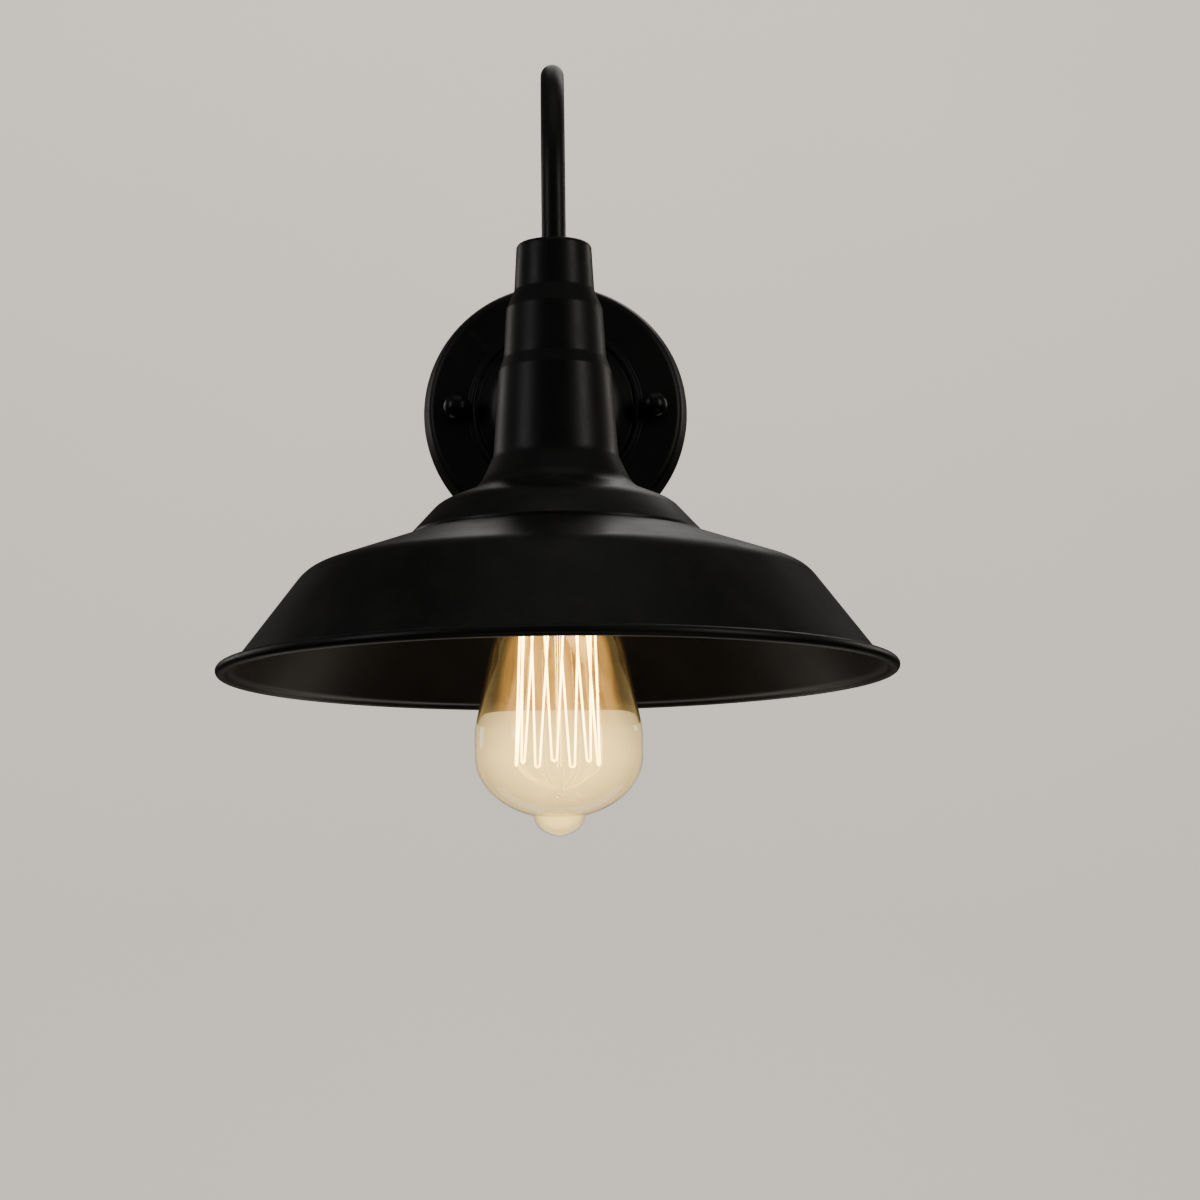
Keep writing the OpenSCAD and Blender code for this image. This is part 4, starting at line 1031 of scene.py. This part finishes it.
class LANTERN_OT_lampholder(bpy.types.Operator):
    """Make the glazed lampholder body, its threaded shell, its contact and its long screws"""

    bl_idname = "lantern.lampholder"
    bl_label = "Lampholder"

    def execute(self, context):
        low, top, roof = HOLDER_LOW, HOLDER_TOP, -57.897
        line = rounded([[0, roof], [13.8, roof], [13.8, low + 0.8], [14.4, low], [21, low], [21, low + 9],
                        [20.4, low + 10], [20.4, top - 9], [21, top - 8], [21, top], [0, top]],
                       [0.2, 0.3, 0.3, 1, 0.6, 0.6, 0.6, 0.6, 2], 6)
        body = make_piece("porcelain_body", "lamp", "porcelain", spun(line, 128), "lampholder_body")
        places = ((-17.6, -REACH, 0), (17.6, -REACH, 0))
        cut_out(body, joined(*(moved(pin(2.95, low - 1, low + 3.5), p) for p in places)))
        cut_out(body, joined(*(moved(pin(1.65, low + 1, top + 1), p) for p in places)))

        seat = low + 3.5
        rows = np.arange(top - 6, top + 2.7, 0.08)
        line = np.concatenate([[[0, seat - 2.4], [2.0, seat - 2.35], [2.6, seat - 2.0], [2.8, seat - 1.5],
                                [2.8, seat], [1.5, seat]], upright_line(1.5, rows),
                               [[1.2, top + 3], [0, top + 3]]])
        screw = turned(line, 40, thread(0.18, 0.5, top - 6, top + 3))
        screws = make_piece("lampholder_screw_pair", "lamp", "zinc_plate",
                            joined(*(moved(screw, p) for p in places)), "lampholder_screws")
        cut_out(screws, joined(*(moved(bar(3, 0.4, seat - 3.4, seat - 1.4), p) for p in places)))

        shape = context.scene.lantern_shape
        pitch = shape.cap_pitch / MM
        up = np.arange(low + 1.5, roof, 0.3)
        line = np.concatenate([upright_line(13.8, up),
                               [[13.8, roof], [8.5, roof], [8.5, roof - 0.45], [13.35, roof - 0.45]],
                               upright_line(13.35, up)[::-1][2:]])
        cut = thread(0.32, pitch, low + 2, roof - 3, 1.5)

        def rolled(r, a, h):
            return np.where(r > 13, cut(r, a, h), r)
        make_piece("screw_shell", "lamp", "brass", spun(line, 120, rolled), "lampholder_shell")
        dome = [[0, -60.797], [2.4, -60.75], [3.6, -60.5], [4, -60.0], [4, -59.6], [2.4, -59.6], [2.4, roof],
                [0, roof]]
        make_piece("centre_contact", "lamp", "brass", spun(dome, 48), "lampholder_contact")
        return {"FINISHED"}


class LANTERN_OT_ball_nuts(bpy.types.Operator):
    """Turn the two ball nuts with their washers"""

    bl_idname = "lantern.ball_nuts"
    bl_label = "Ball nuts"

    def execute(self, context):
        # Up the blind bore, round the foot with its groove, and over the ball of radius 6
        foot = rounded([[0, 24.6], [STUD_BORE, 24.0], [STUD_BORE, 16.3], [2.4, 16], [4.2, 16], [4.2, 17.5],
                        [3.85, 17.9], [4.25, 18.05]], [0.1, 0.1, 0.1, 0.35, 0.2, 0.15], 5)
        ball = arc((0, 22.285), 6, -44, 90, 40)
        ball[-1, 0] = 0
        nut = turned(np.concatenate([foot, ball]), 72)
        washer = turned(rounded([[2.185, 15.5], [2.185, 15], [4.6, 15], [4.6, 16], [2.185, 16], [2.185, 15.5]],
                                [0.1, 0.3, 0.3, 0.1], 5)[:-1], 56)
        for side, x in (("left", -STUD_X), ("right", STUD_X)):
            make_piece(f"ball_nut_{side}_turned", f"{side}_nut", "black_coat", out_of_wall(nut, x),
                       f"ball_nut_{side}", finish="ball_black")
            make_piece(f"ball_washer_{side}_ring", f"{side}_washer", "washer_rubber", out_of_wall(washer, x),
                       f"ball_washer_{side}")
        return {"FINISHED"}


WIDEST, BULB_R, TIP_Z, NECK_GLASS_TOP, BELLY = -172.425, 32.0, -203.097, -69.397, 23.872
# The filament's upper and lower ends, the button that holds the lower hooks, its wire, and its steps in degrees
HIGH_R, HIGH_Z, LOW_R, LOW_Z, BUTTON_Z = 13.76, -104.017, 16.64, -174.725, -186.625
FILAMENT_R, BEND_R = 0.4, 1.0
TURN_STEP, LAST_TURN = 24.0, 14


def glass_line():
    """The bulb's outside: a straight neck, a pear shoulder of arcs, an ellipse belly of half height BELLY, and
    a small sealed tip. It runs from the neck down to the axis."""
    shoulder = rounded([[12.5, NECK_GLASS_TOP], [12.5, -92.397], [25.6, WIDEST + 41], [BULB_R, WIDEST + 10],
                        [BULB_R, WIDEST]], [10, 60, 30], 16)
    a = np.radians(np.arange(3, 73, 3.0))
    belly = np.stack([BULB_R * np.cos(a), WIDEST - BELLY * np.sin(a)], 1)
    root_r, root_z = belly[-1]
    b = np.radians(np.arange(9, 91, 9.0))
    tip = np.stack([root_r * 0.96 * np.cos(b) ** 1.25, root_z - 1 - (root_z - 1 - TIP_Z) * np.sin(b)], 1)
    tip[-1, 0] = 0
    return np.concatenate([shoulder, belly, tip])


def round_stem(turn, r, z):
    """The point at radius r and height z, that many steps of the filament round the stem."""
    a = math.radians(turn * TURN_STEP)
    return np.array([r * math.cos(a), r * math.sin(a) - REACH, z])


def filament_line():
    """The filament's middle: up and down between the upper and the lower hooks, with a half circle
    round each hook."""
    half = np.radians(np.linspace(0, 180, 9))
    line = [round_stem(0, HIGH_R, HIGH_Z)[None]]
    for j in range(1, LAST_TURN):
        low = j % 2 == 1
        middle = round_stem(j, LOW_R if low else HIGH_R, LOW_Z if low else HIGH_Z)
        a = math.radians(j * TURN_STEP + 90)
        along = np.array([math.cos(a), math.sin(a), 0])
        line.append(middle - BEND_R * np.cos(half)[:, None] * along
                    + BEND_R * np.sin(half)[:, None] * np.array([0, 0, -1.0 if low else 1.0]))
    line.append(round_stem(LAST_TURN, HIGH_R, HIGH_Z)[None])
    return np.concatenate(line)


class LANTERN_OT_bulb(bpy.types.Operator):
    """Make the filament bulb: its cap, glass, stem, leads, hooks and filament"""

    bl_idname = "lantern.bulb"
    bl_label = "Bulb"

    def execute(self, context):
        shape = context.scene.lantern_shape
        pitch, depth = shape.cap_pitch / MM, shape.thread_depth / MM
        top, low = -65.197, HOLDER_LOW
        rows = np.arange(top - 1.2, low + 0.7, -0.22)
        line = np.concatenate([[[11.2, top], [12.2, top], [12.8, top - 0.5]], upright_line(13.0, rows),
                               [[13, low + 0.5], [12.9, low], [12.52, low], [12.52, top - 0.9], [11.9, top - 0.5],
                                [11.2, top - 0.45]]])
        cut = thread(depth, pitch, low + 3.0, top - 1, 1.5)

        def rolled(r, a, h):
            return np.where(r > 12.6, cut(r, a, h), r)
        make_piece("bulb_cap_rolled", "bulb", "cap_metal", spun(line, 128, rolled), "bulb_cap")
        line = rounded([[0, -66.397], [12.45, -66.397], [12.45, -65.7], [11.0, -65.5], [6, -62.597],
                        [0, -62.597]], [0.2, 0.3, 0.8, 0.3], 5)
        make_piece("bulb_glass_insulator", "bulb", "black_glass", spun(line, 64), "bulb_insulator")
        line = rounded([[0, -62.597], [5, -62.597], [5, -61.697], [2.5, -61.097], [0, -61.097]], [0.1, 0.6, 2], 6)
        make_piece("bulb_solder_contact", "bulb_thread", "solder", spun(line, 48), "bulb_contact")

        outside = glass_line()
        inside = beside(outside, -0.8)
        inside[-1, 0] = 0
        glass = make_piece("bulb_blown_glass", "bulb", "amber_glass",
                           spun(np.concatenate([outside[::-1], inside]), 160), "bulb_glass", sharp=60.0)
        # The hot wire's light goes out through the glass
        glass.visible_shadow = False

        # Flare, pinch, thin rod, upper bead and end button, as one turned line
        bead = arc((0, HIGH_Z), 2.2, 43, -43, 12)
        button = arc((0, BUTTON_Z), 1.8, 55, -90, 16)
        button[-1, 0] = 0
        line = np.concatenate([
            rounded([[0, -71.397], [11.7, -71.397], [11.7, -72.9], [4.2, -78.4], [3.4, -94.2], [1.5, -97.5],
                     [1.5, -101.5]], [0.3, 1, 5, 1.2, 2.5], 8), bead,
            [[1.5, -106.5], [1.3, -130.0], [1.1, -160.0], [1.0, BUTTON_Z + 1.9]], button])

        def pinched(r, a, h):
            flat = np.clip((-77.5 - h) / 4, 0, 1) * np.clip((h + 96) / 3, 0, 1)
            return r * (1 - 0.4 * flat * np.sin(a) ** 2)
        stem = make_piece("bulb_glass_stem", "bulb", "clear_glass", spun(line, 48, pinched), "bulb_stem")
        stem.visible_shadow = False

        leads = []
        for turn in (0, LAST_TURN):
            route = [round_stem(turn, r, z) for r, z in ((2.0, -94.8), (6.5, -97.5), (HIGH_R, HIGH_Z + 0.5))]
            leads.append(rod(smooth_route(route, 8), 0.35, (0.3, 0.2, 1)))
        make_piece("bulb_lead_wires", "bulb", "lead_wire", joined(*leads), "bulb_leads")

        hooks = []
        for turn in range(2, LAST_TURN, 2):
            points = [round_stem(turn, r, HIGH_Z + up) for r, up in
                      ((2.1, 0), (6.0, 0.15), (HIGH_R - 0.8, 0), (HIGH_R + 0.5, 0), (HIGH_R + 0.9, 0.5))]
            hooks.append(rod(smooth_route(points, 6), 0.2, (0, 0, 1), 8))
        # Each lower hook leaves the button and bends up like the side of a pointed bowl:
        # r = R (1 - (1 - s)^1.7), z = z0 + s H
        s = np.linspace(0.1, 1, 14)
        for turn in range(1, LAST_TURN, 2):
            bowl = [round_stem(turn, LOW_R * (1 - (1 - q) ** 1.7), BUTTON_Z + q * (LOW_Z - BUTTON_Z)) for q in s]
            bowl.append(round_stem(turn, LOW_R + 0.55, LOW_Z + 0.1))
            a = math.radians(turn * TURN_STEP)
            hooks.append(rod(bowl, 0.16, (-math.sin(a), math.cos(a), 0), 8))
        make_piece("bulb_hook_wires", "bulb", "hook_wire", joined(*hooks), "bulb_supports")

        make_piece("bulb_hot_filament", "bulb", "glowing_filament",
                   rod(filament_line(), FILAMENT_R, (0.13, 0.07, 0.02), 10), "bulb_filament")
        return {"FINISHED"}


STEPS = (LANTERN_OT_stage, LANTERN_OT_finishes, LANTERN_OT_mounting, LANTERN_OT_backplate, LANTERN_OT_arm,
         LANTERN_OT_wiring, LANTERN_OT_neck, LANTERN_OT_shade, LANTERN_OT_lampholder, LANTERN_OT_ball_nuts,
         LANTERN_OT_bulb)


class LANTERN_PT_panel(bpy.types.Panel):
    """Settings and steps of the lantern"""

    bl_idname = "LANTERN_PT_panel"
    bl_label = "Gooseneck Wall Lantern"
    bl_space_type = "VIEW_3D"
    bl_region_type = "UI"
    bl_category = "Lantern"

    def draw(self, context):
        for group in (context.scene.lantern_finish, context.scene.lantern_shape, context.scene.lantern_studio):
            box = self.layout.box()
            for name in group.__annotations__:
                box.prop(group, name)
        for step in STEPS:
            self.layout.operator(step.bl_idname)


GROUPS = {"lantern_finish": LanternFinish, "lantern_shape": LanternShape, "lantern_studio": LanternStudio}


def register():
    for item in (*GROUPS.values(), *STEPS, LANTERN_PT_panel):
        bpy.utils.register_class(item)
    for name, group in GROUPS.items():
        setattr(bpy.types.Scene, name, PointerProperty(type=group))


def unregister():
    for name in GROUPS:
        delattr(bpy.types.Scene, name)
    for item in (LANTERN_PT_panel, *reversed(STEPS), *GROUPS.values()):
        bpy.utils.unregister_class(item)


def main():
    register()
    for step in STEPS:
        group, name = step.bl_idname.split(".")
        if "FINISHED" not in getattr(getattr(bpy.ops, group), name)():
            raise RuntimeError(f"{step.bl_label} didn't finish")


if __name__ == "__main__":
    main()
